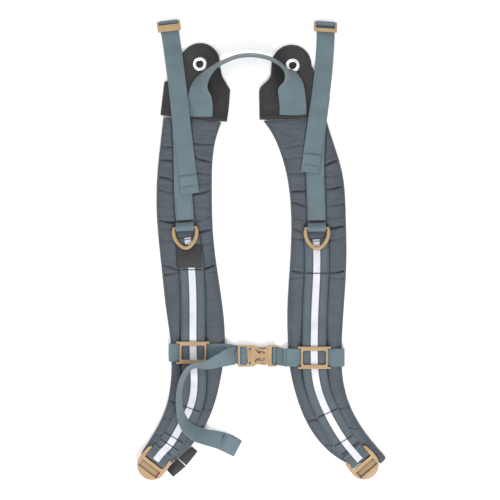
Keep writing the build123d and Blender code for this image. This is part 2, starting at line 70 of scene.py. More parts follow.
def place_camera():
    """Long lens straight above, which takes in a square of floor round the harness."""
    height, floor_seen, sideways = 3.6, 0.71, -0.0159
    view = bpy.data.cameras.new("camera")
    view.sensor_width = 36
    view.lens = view.sensor_width * height / floor_seen
    view.clip_end = 20
    camera = bpy.data.objects.new("camera", view)
    camera.location = (sideways, 0, height)
    bpy.context.scene.collection.objects.link(camera)
    bpy.context.scene.camera = camera


def area_light(name, place, size, power):
    """Square lamp aimed at the middle of the floor."""
    lamp = bpy.data.lights.new(name, "AREA")
    lamp.size = size
    lamp.energy = power
    light = bpy.data.objects.new(name, lamp)
    light.location = place
    light.rotation_euler = (-Vector(place)).to_track_quat("-Z", "Y").to_euler()
    bpy.context.scene.collection.objects.link(light)


def set_studio():
    """White surroundings, two soft lamps and a sheet of white paper."""
    scene = bpy.context.scene
    scene.view_settings.view_transform = "Standard"
    scene.view_settings.look = "None"
    world = bpy.data.worlds.new("studio")
    world.use_nodes = True
    background = world.node_tree.nodes["Background"]
    background.inputs["Color"].default_value = (1, 1, 1, 1)
    background.inputs["Strength"].default_value = 1.0
    scene.world = world
    area_light("key", (0.35, -1.3, 1.5), 0.8, 30)
    area_light("fill", (-1.2, 0.7, 1.6), 1.4, 10)
    mesh = bpy.data.meshes.new("floor")
    reach = 4.0
    corners = [(-reach, -reach, 0), (reach, -reach, 0), (reach, reach, 0), (-reach, reach, 0)]
    mesh.from_pydata(corners, [], [(0, 1, 2, 3)])
    floor = bpy.data.objects.new("floor", mesh)
    floor.location.z = -0.0004
    scene.collection.objects.link(floor)
    paper = bpy.data.materials.new("paper")
    paper.use_nodes = True
    shader = paper.node_tree.nodes["Principled BSDF"]
    shader.inputs["Base Color"].default_value = (0.96, 0.96, 0.96, 1)
    shader.inputs["Roughness"].default_value = 0.9
    shader.inputs["Specular IOR Level"].default_value = 0.1
    mesh.materials.append(paper)


# ---------------------------------------------------------------- materials

class Finish:
    """A node material on the Principled shader, with small helpers to chain nodes."""

    def __init__(self, name, colour, roughness, **sockets):
        self.material = bpy.data.materials.new(name)
        self.material.use_nodes = True
        self.tree = self.material.node_tree
        self.shader = self.tree.nodes["Principled BSDF"]
        self.shader.inputs["Base Color"].default_value = (*colour, 1)
        self.shader.inputs["Roughness"].default_value = roughness
        for socket, value in sockets.items():
            self.shader.inputs[socket.replace("_", " ")].default_value = value
        self.colour = colour
        self.height = None

    def node(self, kind, **inputs):
        made = self.tree.nodes.new(kind)
        for name, value in inputs.items():
            socket = made.inputs[name.replace("_", " ")]
            if isinstance(value, bpy.types.NodeSocket):
                self.tree.links.new(value, socket)
            else:
                socket.default_value = value
        return made

    def place(self):
        """Place in the object's own metres, the same for every piece."""
        return self.tree.nodes.new("ShaderNodeTexCoord").outputs["Object"]

    def along(self):
        """Place on a webbing: across and along it, in metres."""
        made = self.tree.nodes.new("ShaderNodeUVMap")
        made.uv_map = "weave"
        return made.outputs["UV"]

    def noise(self, scale, detail=3.0, vector=None, stretch=None):
        vector = vector or self.place()
        if stretch:
            vector = self.node("ShaderNodeMapping", Vector=vector, Scale=stretch).outputs["Vector"]
        return self.node("ShaderNodeTexNoise", Vector=vector, Scale=scale, Detail=detail).outputs["Fac"]

    def waves(self, direction, pitch, vector, distortion=0.0):
        """Bands at right angles to one axis, one every pitch metres."""
        made = self.node("ShaderNodeTexWave", Vector=vector, Scale=0.314159 / pitch, Distortion=distortion)
        made.bands_direction = direction
        made.wave_profile = "SIN"
        return made.outputs["Fac"]

    def math(self, operation, a, b=0.0):
        made = self.tree.nodes.new("ShaderNodeMath")
        made.operation = operation
        for socket, value in zip(made.inputs, (a, b)):
            if isinstance(value, bpy.types.NodeSocket):
                self.tree.links.new(value, socket)
            else:
                socket.default_value = value
        return made.outputs["Value"]

    def mix(self, *parts):
        """Weighted sum of (factor, weight) pairs."""
        total = None
        for factor, weight in parts:
            part = self.math("MULTIPLY", factor, weight)
            total = self.math("ADD", total, part) if total else part
        return total

    def cells(self, scale):
        """Distance to the middle of rounded cells."""
        return self.node("ShaderNodeTexVoronoi", Vector=self.place(), Scale=scale).outputs["Distance"]

    def tint(self, factor, dark, light, low=0.3, high=0.7, deep=None):
        """Base colour from dark to light shares of the finish's own colour, by a factor."""
        ramp = self.tree.nodes.new("ShaderNodeValToRGB")
        ramp.color_ramp.elements[0].position = low
        ramp.color_ramp.elements[0].color = (*[c * dark for c in self.colour], 1)
        ramp.color_ramp.elements[1].position = high
        ramp.color_ramp.elements[1].color = (*[min(1, c * light) for c in self.colour], 1)
        # deep sets the colour at a factor of 0, where the callers put painted shade in creases and recesses
        if deep:
            ramp.color_ramp.elements.new(0.0).color = (*[c * deep for c in self.colour], 1)
        self.tree.links.new(factor, ramp.inputs["Fac"])
        self.tree.links.new(ramp.outputs["Color"], self.shader.inputs["Base Color"])
        return self

    def rough(self, factor, low, high):
        spread = self.node("ShaderNodeMapRange", Value=factor)
        spread.inputs["To Min"].default_value = low
        spread.inputs["To Max"].default_value = high
        self.tree.links.new(spread.outputs["Result"], self.shader.inputs["Roughness"])
        return self

    def bump(self, height, depth):
        """Surface relief of a depth in metres. Each call adds to the last."""
        made = self.node("ShaderNodeBump", Height=height, Distance=depth)
        if self.height:
            self.tree.links.new(self.height, made.inputs["Normal"])
        self.height = made.outputs["Normal"]
        self.tree.links.new(self.height, self.shader.inputs["Normal"])
        return self


def webbing_finish(name, colour):
    """Ribbed webbing: warp ribs along it, weft picks across it, a little soil and fade."""
    made = Finish(name, colour, 0.82, Sheen_Weight=0.25, Sheen_Roughness=0.4, Specular_IOR_Level=0.3)
    along = made.along()
    ribs = made.waves("X", 1.7 * MM, along, 0.6)
    picks = made.waves("Y", 1.25 * MM, along, 0.6)
    weave = made.math("MULTIPLY", ribs, picks)
    cloud = made.noise(38.0, 5.0)
    fleck = made.noise(900.0, 2.0)
    made.tint(made.mix((weave, 0.30), (cloud, 0.45), (fleck, 0.25)), 0.74, 1.22, 0.22, 0.72)
    return made.bump(weave, 0.35 * MM).bump(fleck, 0.08 * MM).material


def pad_finish(name, colour):
    """Coated nylon: fine plain weave, soft mottling from handling, and painted shade in its creases and beside its
    sewn webbing.
    """
    made = Finish(name, colour, 0.6, Sheen_Weight=0.3, Sheen_Roughness=0.35, Specular_IOR_Level=0.35)
    place = made.place()
    weft = made.waves("X", 0.75 * MM, place, 0.3)
    warp = made.waves("Y", 0.75 * MM, place, 0.3)
    weave = made.math("MULTIPLY", weft, warp)
    cloud = made.noise(24.0, 6.0)
    crumple = made.noise(95.0, 4.0, stretch=(0.7, 1.8, 1.0))
    mixed = made.mix((cloud, 0.65), (crumple, 0.35))
    # painted shade: a point attribute darkens the colour in the pad's creases and beside its sewn webbing
    painted_shading = made.tree.nodes.new("ShaderNodeAttribute")
    painted_shading.attribute_name = "fold"
    unshaded = made.math("SUBTRACT", 1.0, painted_shading.outputs["Fac"])
    made.tint(made.math("MULTIPLY", mixed, unshaded), 0.78, 1.18, 0.32, 0.68, deep=0.22)
    made.rough(cloud, 0.5, 0.72)
    return made.bump(crumple, 0.9 * MM).bump(weave, 0.12 * MM).material


def coated_finish(name, colour):
    """Pebbled black coating, satin, with rubbed high spots."""
    made = Finish(name, colour, 0.55, Specular_IOR_Level=0.4)
    pebble = made.cells(620.0)
    cloud = made.noise(42.0, 5.0)
    made.tint(cloud, 0.7, 1.5, 0.3, 0.75)
    made.rough(cloud, 0.42, 0.66)
    return made.bump(pebble, 0.25 * MM).bump(made.noise(60.0, 3.0), 0.8 * MM).material


def acetal_finish(name, colour):
    """Moulded plastic: fine spark texture, faint flow marks, lighter on convex edges, and painted shade in concave
    corners and recesses.
    """
    made = Finish(name, colour, 0.42, Specular_IOR_Level=0.5, Subsurface_Weight=0.08,
                  Subsurface_Radius=(0.004, 0.002, 0.001))
    cloud = made.noise(55.0, 5.0)
    grain = made.noise(2600.0, 2.0)
    # pointiness: lighter on convex edges, and painted shade in concave corners
    edge = made.tree.nodes.new("ShaderNodeNewGeometry").outputs["Pointiness"]
    mixed = made.mix((cloud, 0.5), (edge, 0.5))
    # painted shade: ambient occlusion darkens the colour in recesses and where parts meet
    recess_shade = made.tree.nodes.new("ShaderNodeAmbientOcclusion")
    recess_shade.inputs["Distance"].default_value = 7 * MM
    mixed = made.math("MULTIPLY", mixed, made.math("POWER", recess_shade.outputs["AO"], 1.6))
    made.tint(mixed, 0.86, 1.14, 0.38, 0.66, deep=0.25)
    made.rough(cloud, 0.34, 0.52)
    return made.bump(grain, 0.05 * MM).material


def tape_finish():
    """Glass-bead reflective tape with a fine grid and small scuffs."""
    made = Finish("reflective_tape", (0.515, 0.52, 0.555), 0.38, Specular_IOR_Level=0.6)
    place = made.place()
    grid = made.math("MAXIMUM", made.waves("X", 1.1 * MM, place), made.waves("Y", 1.1 * MM, place))
    cloud = made.noise(70.0, 4.0)
    made.tint(made.mix((grid, 0.2), (cloud, 0.8)), 0.86, 1.1, 0.25, 0.75)
    return made.bump(grid, 0.05 * MM).material


def metal_finish():
    """Nickel plate, slightly brushed and dulled."""
    made = Finish("plated_metal", (0.83, 0.81, 0.78), 0.28, Metallic=1.0)
    cloud = made.noise(300.0, 4.0)
    made.tint(cloud, 0.85, 1.12)
    made.rough(cloud, 0.2, 0.4)
    return made.bump(made.noise(1500.0, 2.0), 0.03 * MM).material


def mesh_finish():
    """Knitted spacer mesh: a hexagonal net of small dark holes."""
    made = Finish("spacer_mesh", (0.05, 0.055, 0.062), 0.9, Sheen_Weight=0.3, Specular_IOR_Level=0.2)
    cells = made.cells(420.0)
    made.tint(cells, 0.35, 1.5, 0.12, 0.5)
    return made.bump(cells, 0.9 * MM).material


def thread_finish(name, colour):
    made = Finish(name, colour, 0.6, Specular_IOR_Level=0.4)
    made.tint(made.noise(1800.0, 2.0), 0.75, 1.25)
    return made.bump(made.noise(2500.0, 2.0), 0.05 * MM).material


def foam_finish():
    made = Finish("foam", (0.06, 0.062, 0.068), 0.95, Specular_IOR_Level=0.2)
    cells = made.cells(900.0)
    made.tint(cells, 0.7, 1.2)
    return made.bump(cells, 0.3 * MM).material


finishes = {
    "slate_webbing": webbing_finish("slate_webbing", (0.112, 0.157, 0.177)),
    "dark_webbing": webbing_finish("dark_webbing", (0.086, 0.107, 0.124)),
    "slate_fabric": pad_finish("slate_fabric", (0.053, 0.065, 0.078)),
    "black_coated_fabric": coated_finish("black_coated_fabric", (0.0155, 0.0148, 0.0158)),
    "tan_acetal": acetal_finish("tan_acetal", (0.325, 0.214, 0.110)),
    "reflective_tape": tape_finish(),
    "plated_metal": metal_finish(),
    "spacer_mesh": mesh_finish(),
    "foam": foam_finish(),
    "stiffener_sheet": acetal_finish("stiffener_sheet", (0.06, 0.06, 0.062)),
    "thread": thread_finish("thread", (0.016, 0.019, 0.022)),
}
node_slot = {part["node"]: part["material_slot"] for part in frame["record"]["subparts"]}
node_body = {n: b for b, members in frame["record"]["behaviour"]["bodies"].items() for n in members}


# ---------------------------------------------------------------- mesh helpers

def make_piece(name, verts, faces, slot, body="straps", replaced=(), uvs=None):
    """A mesh piece with its finish, riding on a body and standing for CAD nodes."""
    mesh = bpy.data.meshes.new(name)
    mesh.from_pydata([tuple(v) for v in verts], [], faces)
    mesh.validate()
    if uvs is not None:
        layer = mesh.uv_layers.new(name="weave")
        layer.data.foreach_set("uv", np.array([uvs[i] for i in loop_points(mesh)], np.float32).ravel())
    mesh.polygons.foreach_set("use_smooth", [True] * len(mesh.polygons))
    mesh.materials.append(finishes[slot])
    piece = bpy.data.objects.new(name, mesh)
    bpy.context.scene.collection.objects.link(piece)
    finish_piece(piece, slot, body, replaced)
    return piece


def loop_points(mesh):
    points = np.empty(len(mesh.loops), np.int64)
    mesh.loops.foreach_get("vertex_index", points)
    return points


def finish_piece(piece, slot, body, replaced):
    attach(piece, body)
    if replaced:
        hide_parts(*replaced)


def spline_through(points, step):
    """Evenly spaced points on a smooth curve through given points of any dimension."""
    points = np.array(points, float)
    ends = np.vstack([2 * points[0] - points[1], points, 2 * points[-1] - points[-2]])
    dense = []
    for i in range(1, len(ends) - 2):
        before, start, end, after = ends[i - 1], ends[i], ends[i + 1], ends[i + 2]
        for t in np.linspace(0, 1, 24, endpoint=False):
            dense.append(0.5 * (2 * start + (end - before) * t
                                + (2 * before - 5 * start + 4 * end - after) * t ** 2
                                + (3 * start - before - 3 * end + after) * t ** 3))
    dense.append(ends[-2])
    return evenly(np.array(dense), step)


def evenly(dense, step):
    """The same line with its points a step apart, measured over its first three coordinates."""
    gaps = np.linalg.norm(np.diff(dense[:, :3], axis=0), axis=1)
    run = np.concatenate([[0], np.cumsum(gaps)])
    count = max(2, int(round(run[-1] / step)) + 1)
    wanted = np.linspace(0, run[-1], count)
    return np.stack([np.interp(wanted, run, dense[:, k]) for k in range(dense.shape[1])], axis=1)


@functools.cache
def edge_ends(node):
    """Both ends of every mesh edge of a CAD node."""
    mesh = frame["nodes"][node].data
    places = np.empty(len(mesh.vertices) * 3)
    mesh.vertices.foreach_get("co", places)
    pairs = np.empty(len(mesh.edges) * 2, np.int64)
    mesh.edges.foreach_get("vertices", pairs)
    places = places.reshape(-1, 3)
    pairs = pairs.reshape(-1, 2)
    return places[pairs[:, 0]], places[pairs[:, 1]]


def cut(node, point, across, low=-1.0, high=1.0, reach=1.0):
    """Where an upright plane cuts a CAD node: distances from point along across, and heights."""
    a, b = edge_ends(node)
    across = np.array(across, float)
    square = np.array([-across[1], across[0], 0.0])
    origin = np.array(point, float)
    da = (a - origin) @ square
    db = (b - origin) @ square
    crossing = (da * db <= 0) & (np.abs(da - db) > 1e-9)
    share = (da / np.where(crossing, da - db, 1))[crossing]
    hits = a[crossing] + (b[crossing] - a[crossing]) * share[:, None]
    hits = hits[(hits[:, 2] >= low) & (hits[:, 2] <= high)]
    offset = (hits - origin) @ across
    near = np.abs(offset) < reach
    hits, offset = hits[near], offset[near]
    if len(hits) == 0:
        return None
    return offset.min(), offset.max(), hits[:, 2].min(), hits[:, 2].max()


def follow(node, start, ahead, step, low=-1.0, high=1.0):
    """Marches along a strap from a point, keeping to its middle, until it ends.

    Gives the middle line with the height of the strap's underside, and half its width.
    """
    place = np.array((*start, 0.0))
    ahead = np.array((*ahead, 0.0))
    points, half = [], None
    while True:
        across = np.array([-ahead[1], ahead[0], 0.0])
        found = cut(node, place, across, low, high, reach=24 * MM)
        if found is None or (half and found[1] - found[0] < 1.8 * half):
            break
        half = half or (found[1] - found[0]) / 2
        middle = place + across * (found[0] + found[1]) / 2
        points.append((middle[0], middle[1], found[2]))
        if len(points) > 1:
            turn = np.array([*(np.array(points[-1]) - points[-2])[:2], 0.0])
            ahead = ahead + turn / np.linalg.norm(turn)
            ahead /= np.linalg.norm(ahead)
        place = middle + ahead * step
    return points, half


def both_ways(node, y, step, **heights):
    """The middle line of a strap, from its top end to its bottom end, through a Y."""
    found = cut(node, (0, y, 0), (1, 0, 0), **heights)
    start = ((found[0] + found[1]) / 2, y)
    upwards, half = follow(node, start, (0, 1), step, **heights)
    downwards, half = follow(node, start, (0, -1), step, **heights)
    return list(reversed(upwards)) + downwards[1:], half


def smoothed(line, times=4):
    """The same line with small steps evened out and its ends kept."""
    line = np.array(line, float)
    for _ in range(times):
        line[1:-1] = (line[:-2] + 2 * line[1:-1] + line[2:]) / 4
    return line


def smoothed_ring(ring, times):
    """The same closed line with small steps evened out."""
    for _ in range(times):
        ring = (np.roll(ring, 1, axis=0) + 2 * ring + np.roll(ring, -1, axis=0)) / 4
    return ring


def ring_ahead(ring):
    """The way ahead at each point of a closed line."""
    return np.roll(ring, -1, axis=0) - np.roll(ring, 1, axis=0)


def ring_faces(this, after, count):
    """Faces between two rings of vertices, given by their first numbers."""
    return [(this + k, this + (k + 1) % count, after + (k + 1) % count, after + k) for k in range(count)]


def tube_faces(rings, count):
    """Faces of a tube that closes on itself, as a link does."""
    return [face for i in range(rings) for face in ring_faces(i * count, (i + 1) % rings * count, count)]


def hinge(name, upwards):
    """A joint's place, its axis, and the level way square to it that leads up or down the strap."""
    joint = next(j for j in frame["joints"] if j["name"] == name)
    bar = Vector(joint["axis"]).normalized()
    out = UP.cross(bar)
    if (out.y < 0) == upwards:
        out = -out
    return Vector(joint["pos_m"]), bar, out


def around(pivot, out, points):
    """Places in the upright plane through a hinge, from (distance out, height) pairs."""
    return [tuple(pivot + out * a + UP * h) for a, h in points]


def smoothstep(low, high, value):
    t = np.clip((value - low) / (high - low), 0, 1)
    return t * t * (3 - 2 * t)


def bell(value, width):
    """Bell curve of height 1 round zero."""
    return math.exp(-(value / width) ** 2)


def rough_at(point, scale, seed=0.0):
    """Smooth noise from -1 to 1."""
    return noise.noise(Vector(point) * scale + Vector((seed, seed * 1.7, seed * 2.3)))


# ---------------------------------------------------------------- webbing

def ribbon(name, line, across, width, replaced=(), slot="slate_webbing", body="straps", thick=WEB_THICK,
           sag=0.0):
    """Flat webbing along a line of 3-D points, with its width direction at each point.

    Its selvedges are a little thicker than its middle, as woven webbing is.
    """
    half, rise = width / 2, thick / 2
    # share of the half width, and of the half thickness there
    profile = [(0.0, 0.86), (0.5, 0.86), (0.80, 0.86), (0.94, 1.0), (0.985, 0.7), (1.0, 0.25)]
    profile = [(-x, swell) for x, swell in profile[:0:-1]] + profile
    section = [(x * half, rise * swell) for x, swell in profile]
    section += [(x, -z) for x, z in reversed(section)]
    count = len(section)
    line = np.array(line, float)
    run = np.concatenate([[0], np.cumsum(np.linalg.norm(np.diff(line, axis=0), axis=1))])
    verts, uvs, faces = [], [], []
    for i, ahead in enumerate(np.gradient(line, axis=0)):
        forward = Vector(ahead).normalized()
        side = Vector(across[i])
        side = (side - forward * side.dot(forward)).normalized()
        normal = side.cross(forward)
        for x, z in section:
            cup = sag * (1 - (x / half) ** 2)
            verts.append(Vector(line[i]) + side * x + normal * (z + cup))
            uvs.append((x, run[i]))
    for i in range(len(line) - 1):
        faces += ring_faces(i * count, (i + 1) * count, count)
    faces.append(tuple(reversed(range(count))))
    faces.append(tuple(range(len(verts) - count, len(verts))))
    return make_piece(name, verts, faces, slot, body, replaced, uvs)


def arc_points(radius, start, end, steps):
    """Points of an arc about the origin, angles in degrees."""
    turns = np.radians(np.linspace(start, end, steps))
    return [(radius * math.cos(turn), radius * math.sin(turn)) for turn in turns]


def stitch_rows(name, rows, body="straps", pitch=2.4 * MM, length=1.6 * MM, radius=0.22 * MM):
    """Rows of thread stitches, a pitch apart. A row is a list of (point, surface normal)."""
    lift, sides = 0.05 * MM, 6
    profile = ((-0.5, 0.25), (-0.32, 1.0), (0.32, 1.0), (0.5, 0.25))
    verts, faces = [], []
    for row in rows:
        line = evenly(np.array([(*point, *normal) for point, normal in row], float), pitch)
        for start, after in zip(line[:-1], line[1:]):
            up = Vector(start[3:]).normalized()
            start, after = Vector(start[:3]), Vector(after[:3])
            forward = (after - start).normalized()
            side = forward.cross(up).normalized()
            middle = (start + after) / 2 + up * lift
            base = len(verts)
            for share, size in profile:
                sink = up * (-radius if size < 1 else 0)
                for a in range(sides):
                    turn = math.tau * a / sides
                    around_it = side * math.cos(turn) + up * math.sin(turn)
                    verts.append(middle + forward * (share * length) + sink + around_it * radius * size)
            last = base + sides * (len(profile) - 1)
            for ring in range(base, last, sides):
                faces += ring_faces(ring, ring + sides, sides)
            faces.append(tuple(base + a for a in reversed(range(sides))))
            faces.append(tuple(last + a for a in range(sides)))
    return make_piece(name, verts, faces, "thread", body)


def row_across(middle, side_way, half, normal=UP):
    """One row of stitches across a strap."""
    return [(middle - side_way * half, normal), (middle + side_way * half, normal)]


# ---------------------------------------------------------------- hardware from the CAD shapes

def refined(node, bevel, segments=3):
    """The CAD part's own shape with its edges rounded, as a moulded part has them."""
    source = frame["nodes"][node]
    mesh = bmesh.new()
    mesh.from_mesh(source.data)
    bmesh.ops.remove_doubles(mesh, verts=mesh.verts, dist=0.01 * MM)
    bmesh.ops.dissolve_limit(mesh, angle_limit=math.radians(2), verts=mesh.verts, edges=mesh.edges)
    data = bpy.data.meshes.new(f"{node}_moulded")
    mesh.to_mesh(data)
    mesh.free()
    slot = node_slot[node]
    data.materials.append(finishes[slot])
    piece = bpy.data.objects.new(f"{node}_moulded", data)
    bpy.context.scene.collection.objects.link(piece)
    rounding = piece.modifiers.new("rounding", "BEVEL")
    rounding.width = bevel
    rounding.segments = segments
    rounding.limit_method = "ANGLE"
    rounding.angle_limit = math.radians(28)
    rounding.use_clamp_overlap = True
    apply_modifiers(piece)
    piece.data.polygons.foreach_set("use_smooth", [True] * len(piece.data.polygons))
    piece.data.set_sharp_from_angle(angle=math.radians(50))
    finish_piece(piece, slot, node_body[node], [node])
    return piece


def apply_modifiers(piece):
    bpy.context.view_layer.update()
    evaluated = piece.evaluated_get(bpy.context.evaluated_depsgraph_get())
    data = bpy.data.meshes.new_from_object(evaluated)
    piece.modifiers.clear()
    piece.data = data


def lathe(name, centre, profile, slot, replaced):
    """A closed profile of (radius, height) in millimetres turned about an upright axis."""
    steps, count = 64, len(profile)
    verts, faces = [], []
    for a in np.arange(steps) * math.tau / steps:
        verts += [(centre.x + radius * MM * math.cos(a), centre.y + radius * MM * math.sin(a), height * MM)
                  for radius, height in profile]
    for i in range(steps):
        this, after = i * count, ((i + 1) % steps) * count
        faces += [(this + k, after + k, after + (k + 1) % count, this + (k + 1) % count)
                  for k in range(count)]
    make_piece(name, verts, faces, slot, replaced=replaced)


# ---------------------------------------------------------------- padded straps

class Pad:
    """Rows across a pad, from its yoke end to its ladder-lock end, taken from the CAD outline."""

    STEP = 1.0 * MM
    COLUMNS = 64
    SEAM = 4.2 * MM
    # narrowest row at the yoke end and in the tip beside the ladder-lock
    WIDE = 12 * MM
    TIP = 4 * MM

    def __init__(self, side):
        self.side = side
        self.outline = f"edge_binding_{side}"
        inset = 0.2 * MM
        # below this Y the rows follow the band, above it they are level
        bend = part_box(f"centre_band_{side}")[0].y + 92 * MM
        line = smoothed(self.route(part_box(self.outline)[1].y - inset, bend), 12)
        line = evenly(np.hstack([line, np.zeros((len(line), 1))]), self.STEP)
        self.rows = []
        for point, forward in zip(line, np.gradient(line, axis=0)):
            forward = forward / np.linalg.norm(forward)
            turn = 1 - smoothstep(bend - 10 * MM, bend + 70 * MM, point[1])
            forward = forward * turn + np.array([0, -1, 0]) * (1 - turn)
            forward /= np.linalg.norm(forward)
            across = np.array([-forward[1], forward[0], 0])
            if across[0] < 0:
                across = -across
            found = cut(self.outline, point, across)
            if found is None or found[1] - found[0] < (self.TIP if self.rows else self.WIDE):
                if self.rows:
                    break
                continue
            self.rows.append((point, across, found[0] + inset, found[1] - inset))
        self.run = np.arange(len(self.rows)) * self.STEP
        self.length = max(run for run, row in zip(self.run, self.rows) if row[3] - row[2] > self.WIDE)
        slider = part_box(f"sternum_slider_{side}")
        travel = joint_range("sternum_height")
        self.channel = (slider[0].y + travel[0], slider[1].y + travel[1])
        self.find_sewn()

    def route(self, top, bend):
        """Plan points down the middle of the pad, then along the band and on past its end."""
        step, overrun = 4 * MM, 60 * MM
        full = cut(self.outline, (0, top - 40 * MM, 0), (1, 0, 0))
        route = []
        for y in np.arange(top, bend, -step):
            found = cut(self.outline, (0, y, 0), (1, 0, 0))
            # a level cut through a slanting end is short, so its middle is off
            whole = found[1] - found[0] > 0.85 * (full[1] - full[0])
            route.append((sum(found[:2]) / 2 if whole else sum(full[:2]) / 2, y))
        band, _ = both_ways(f"centre_band_{self.side}", bend, step)
        band = [(x, y) for x, y, _ in band if y < bend + 1 * MM]
        last, before = Vector(band[-1]), Vector(band[-4])
        ahead = (last - before).normalized()
        band += [tuple(last + ahead * d) for d in np.arange(step, overrun, step)]
        shift = Vector(route[-1]) - Vector(band[0])
        return route + [tuple(Vector(p) + shift * (1 - smoothstep(0, 12, i))) for i, p in enumerate(band)]

    def surface(self, i, offset):
        """Place and height of the pad's face at a row and a distance from its middle line."""
        point, across, low, high = self.rows[i]
        place = point + across * offset
        edge = min(offset - low, high - offset)
        ends = min(self.run[i] + 1.5 * MM, max(0, self.length - self.run[i]) + 2.5 * MM)
        return place, self.height(place, edge, ends)

    def height(self, place, edge, ends):
        """Face height: rounded at its seams, pressed where webbing is sewn, creased by use."""
        top = PAD_TOP - 0.1 * MM
        rounding = 1 - (1 - min(1.0, max(0.0, edge) / (13 * MM))) ** 2.6
        end_rounding = 1 - (1 - min(1.0, max(0.0, ends) / (16 * MM))) ** 2.2
        height = self.SEAM + (top - self.SEAM) * rounding * (0.42 + 0.58 * end_rounding)
        x, y = place[0], place[1]
        half, middle = self.sewn(y)
        beside = abs(x - middle) - half
        puff = bell(beside - 10 * MM, 7 * MM) * (1.0 * MM) * rounding
        groove = bell(beside - 0.7 * MM, 1.2 * MM) * 2.2 * MM
        free = smoothstep(0, 3 * MM, beside)
        crease = self.creases(x, y, max(0.0, beside), max(0.0, edge), middle)
        ripple = rough_at((x, y * 2.2, 0), 42, 3.1) * 0.6 * MM
        ripple += rough_at((x * 1.3, y * 3.4, 0), 85, 8.4) * 0.4 * MM
        ripple *= 0.35 + smoothstep(10 * MM, 40 * MM, y)
        return height + puff - groove - (crease - ripple) * rounding ** 0.5 * (0.1 + 0.9 * free)

    def find_sewn(self):
        """Half width and middle X, by Y, of the webbing sewn down along the pad."""
        band, half = both_ways(f"centre_band_{self.side}", ON_BAND, 3 * MM)
        table = [(y, half, x) for x, y, _ in band]
        strap, half = both_ways(f"lifter_strap_{self.side}", ON_LIFTER, 4 * MM, high=PAD_TOP + 0.9 * MM)
        table += [(y, half, x) for x, y, _ in strap if y > table[0][0]]
        self.sewn_table = np.array(sorted(table)).T

    def sewn(self, y):
        ys, halves, middles = self.sewn_table
        return float(np.interp(y, ys, halves)), float(np.interp(y, ys, middles))

    def creases(self, x, y, beside, edge, middle):
        """Creases from the webbing's edge to the pad's edge, as depths."""
        total = 0.0
        share = beside / max(beside + edge, 1 * MM)
        for inner_end, outer_end, depth in CREASES[self.side, x > middle]:
            wander = rough_at((x, inner_end, 0), 90, 1.3) * 2.2 * MM
            beyond = abs(y - (inner_end + (outer_end - inner_end) * share) * MM - wander)
            if beyond < 14 * MM:
                shape = 1.5 * bell(beyond, 1.25 * MM) - 0.4 * bell(beyond - 4.6 * MM, 3.0 * MM)
                total += depth * MM * shape * (0.8 + 0.5 * rough_at((x, inner_end, 1), 70, 4.2))
        return total

    def fold(self, i, offset):
        """How deep in a crease or beside the webbing a point of the face lies, from 0 to 1: the share of painted
        shade in the face's colour there.
        """
        point, across, low, high = self.rows[i]
        x, y = (point + across * offset)[:2]
        half, middle = self.sewn(y)
        beside = abs(x - middle) - half
        edge = min(offset - low, high - offset)
        crease = self.creases(x, y, max(0.0, beside), max(0.0, edge), middle) / (2.6 * MM)
        seam = 0.7 * bell(beside - 0.5 * MM, 0.9 * MM)
        return min(1.0, max(0.0, crease if beside > 0 else 0.0, seam))


# Creases of each pad, keyed by pad and by side of the webbing (True is its +X side):
# Y in millimetres at the webbing and at the pad's edge, and depth
CREASES = {
    ("left", False): [
        (164, 163, 0.9), (145.4, 146.6, 1.5), (125.4, 127.7, 2.4), (99.5, 104.9, 2.2), (82, 84, 1.0),
        (62, 60, 0.8), (38.3, 42.3, 2.2), (28.8, 30, 1.0), (12, 14, 0.6), (-28.3, -20.9, 2.2),
        (-30.7, -35.6, 1.8), (-216.5, -214, 1.6), (-240, -238, 0.8), (-262, -262, 1.0),
    ],
    ("left", True): [
        (168, 160, 0.7), (150.6, 149.6, 1.4), (132.5, 123, 2.4), (108.9, 107.7, 1.5), (93, 95, 0.8),
        (78.3, 83.5, 2.2), (62, 60, 0.7), (39.4, 47.7, 1.6), (25.3, 29.3, 2.0), (8, 10, 0.7),
        (-27, -21.4, 2.2), (-31, -31.5, 1.2), (-223.8, -227.5, 1.5), (-255, -258, 1.0),
    ],
    ("right", False): [
        (150, 143, 0.7), (133, 128, 0.9), (110, 106, 0.8), (83.7, 82.3, 2.2), (63, 67.2, 1.5),
        (41.8, 44.6, 1.0), (26.5, 30, 1.8), (16, 16.7, 1.0), (-33.2, -29.5, 2.3), (-38, -40, 1.2),
        (-239.7, -240.9, 1.5), (-275, -277, 1.0),
    ],
    ("right", True): [
        (120.7, 126.6, 2.2), (104, 106, 0.8), (86, 90, 1.8), (62, 66, 1.0), (45, 47, 1.0), (30, 34, 2.0),
        (14, 18, 1.0), (-33.2, -30.2, 2.3), (-39, -41, 1.0), (-225, -221.4, 1.5), (-253, -250, 1.0),
    ],
}


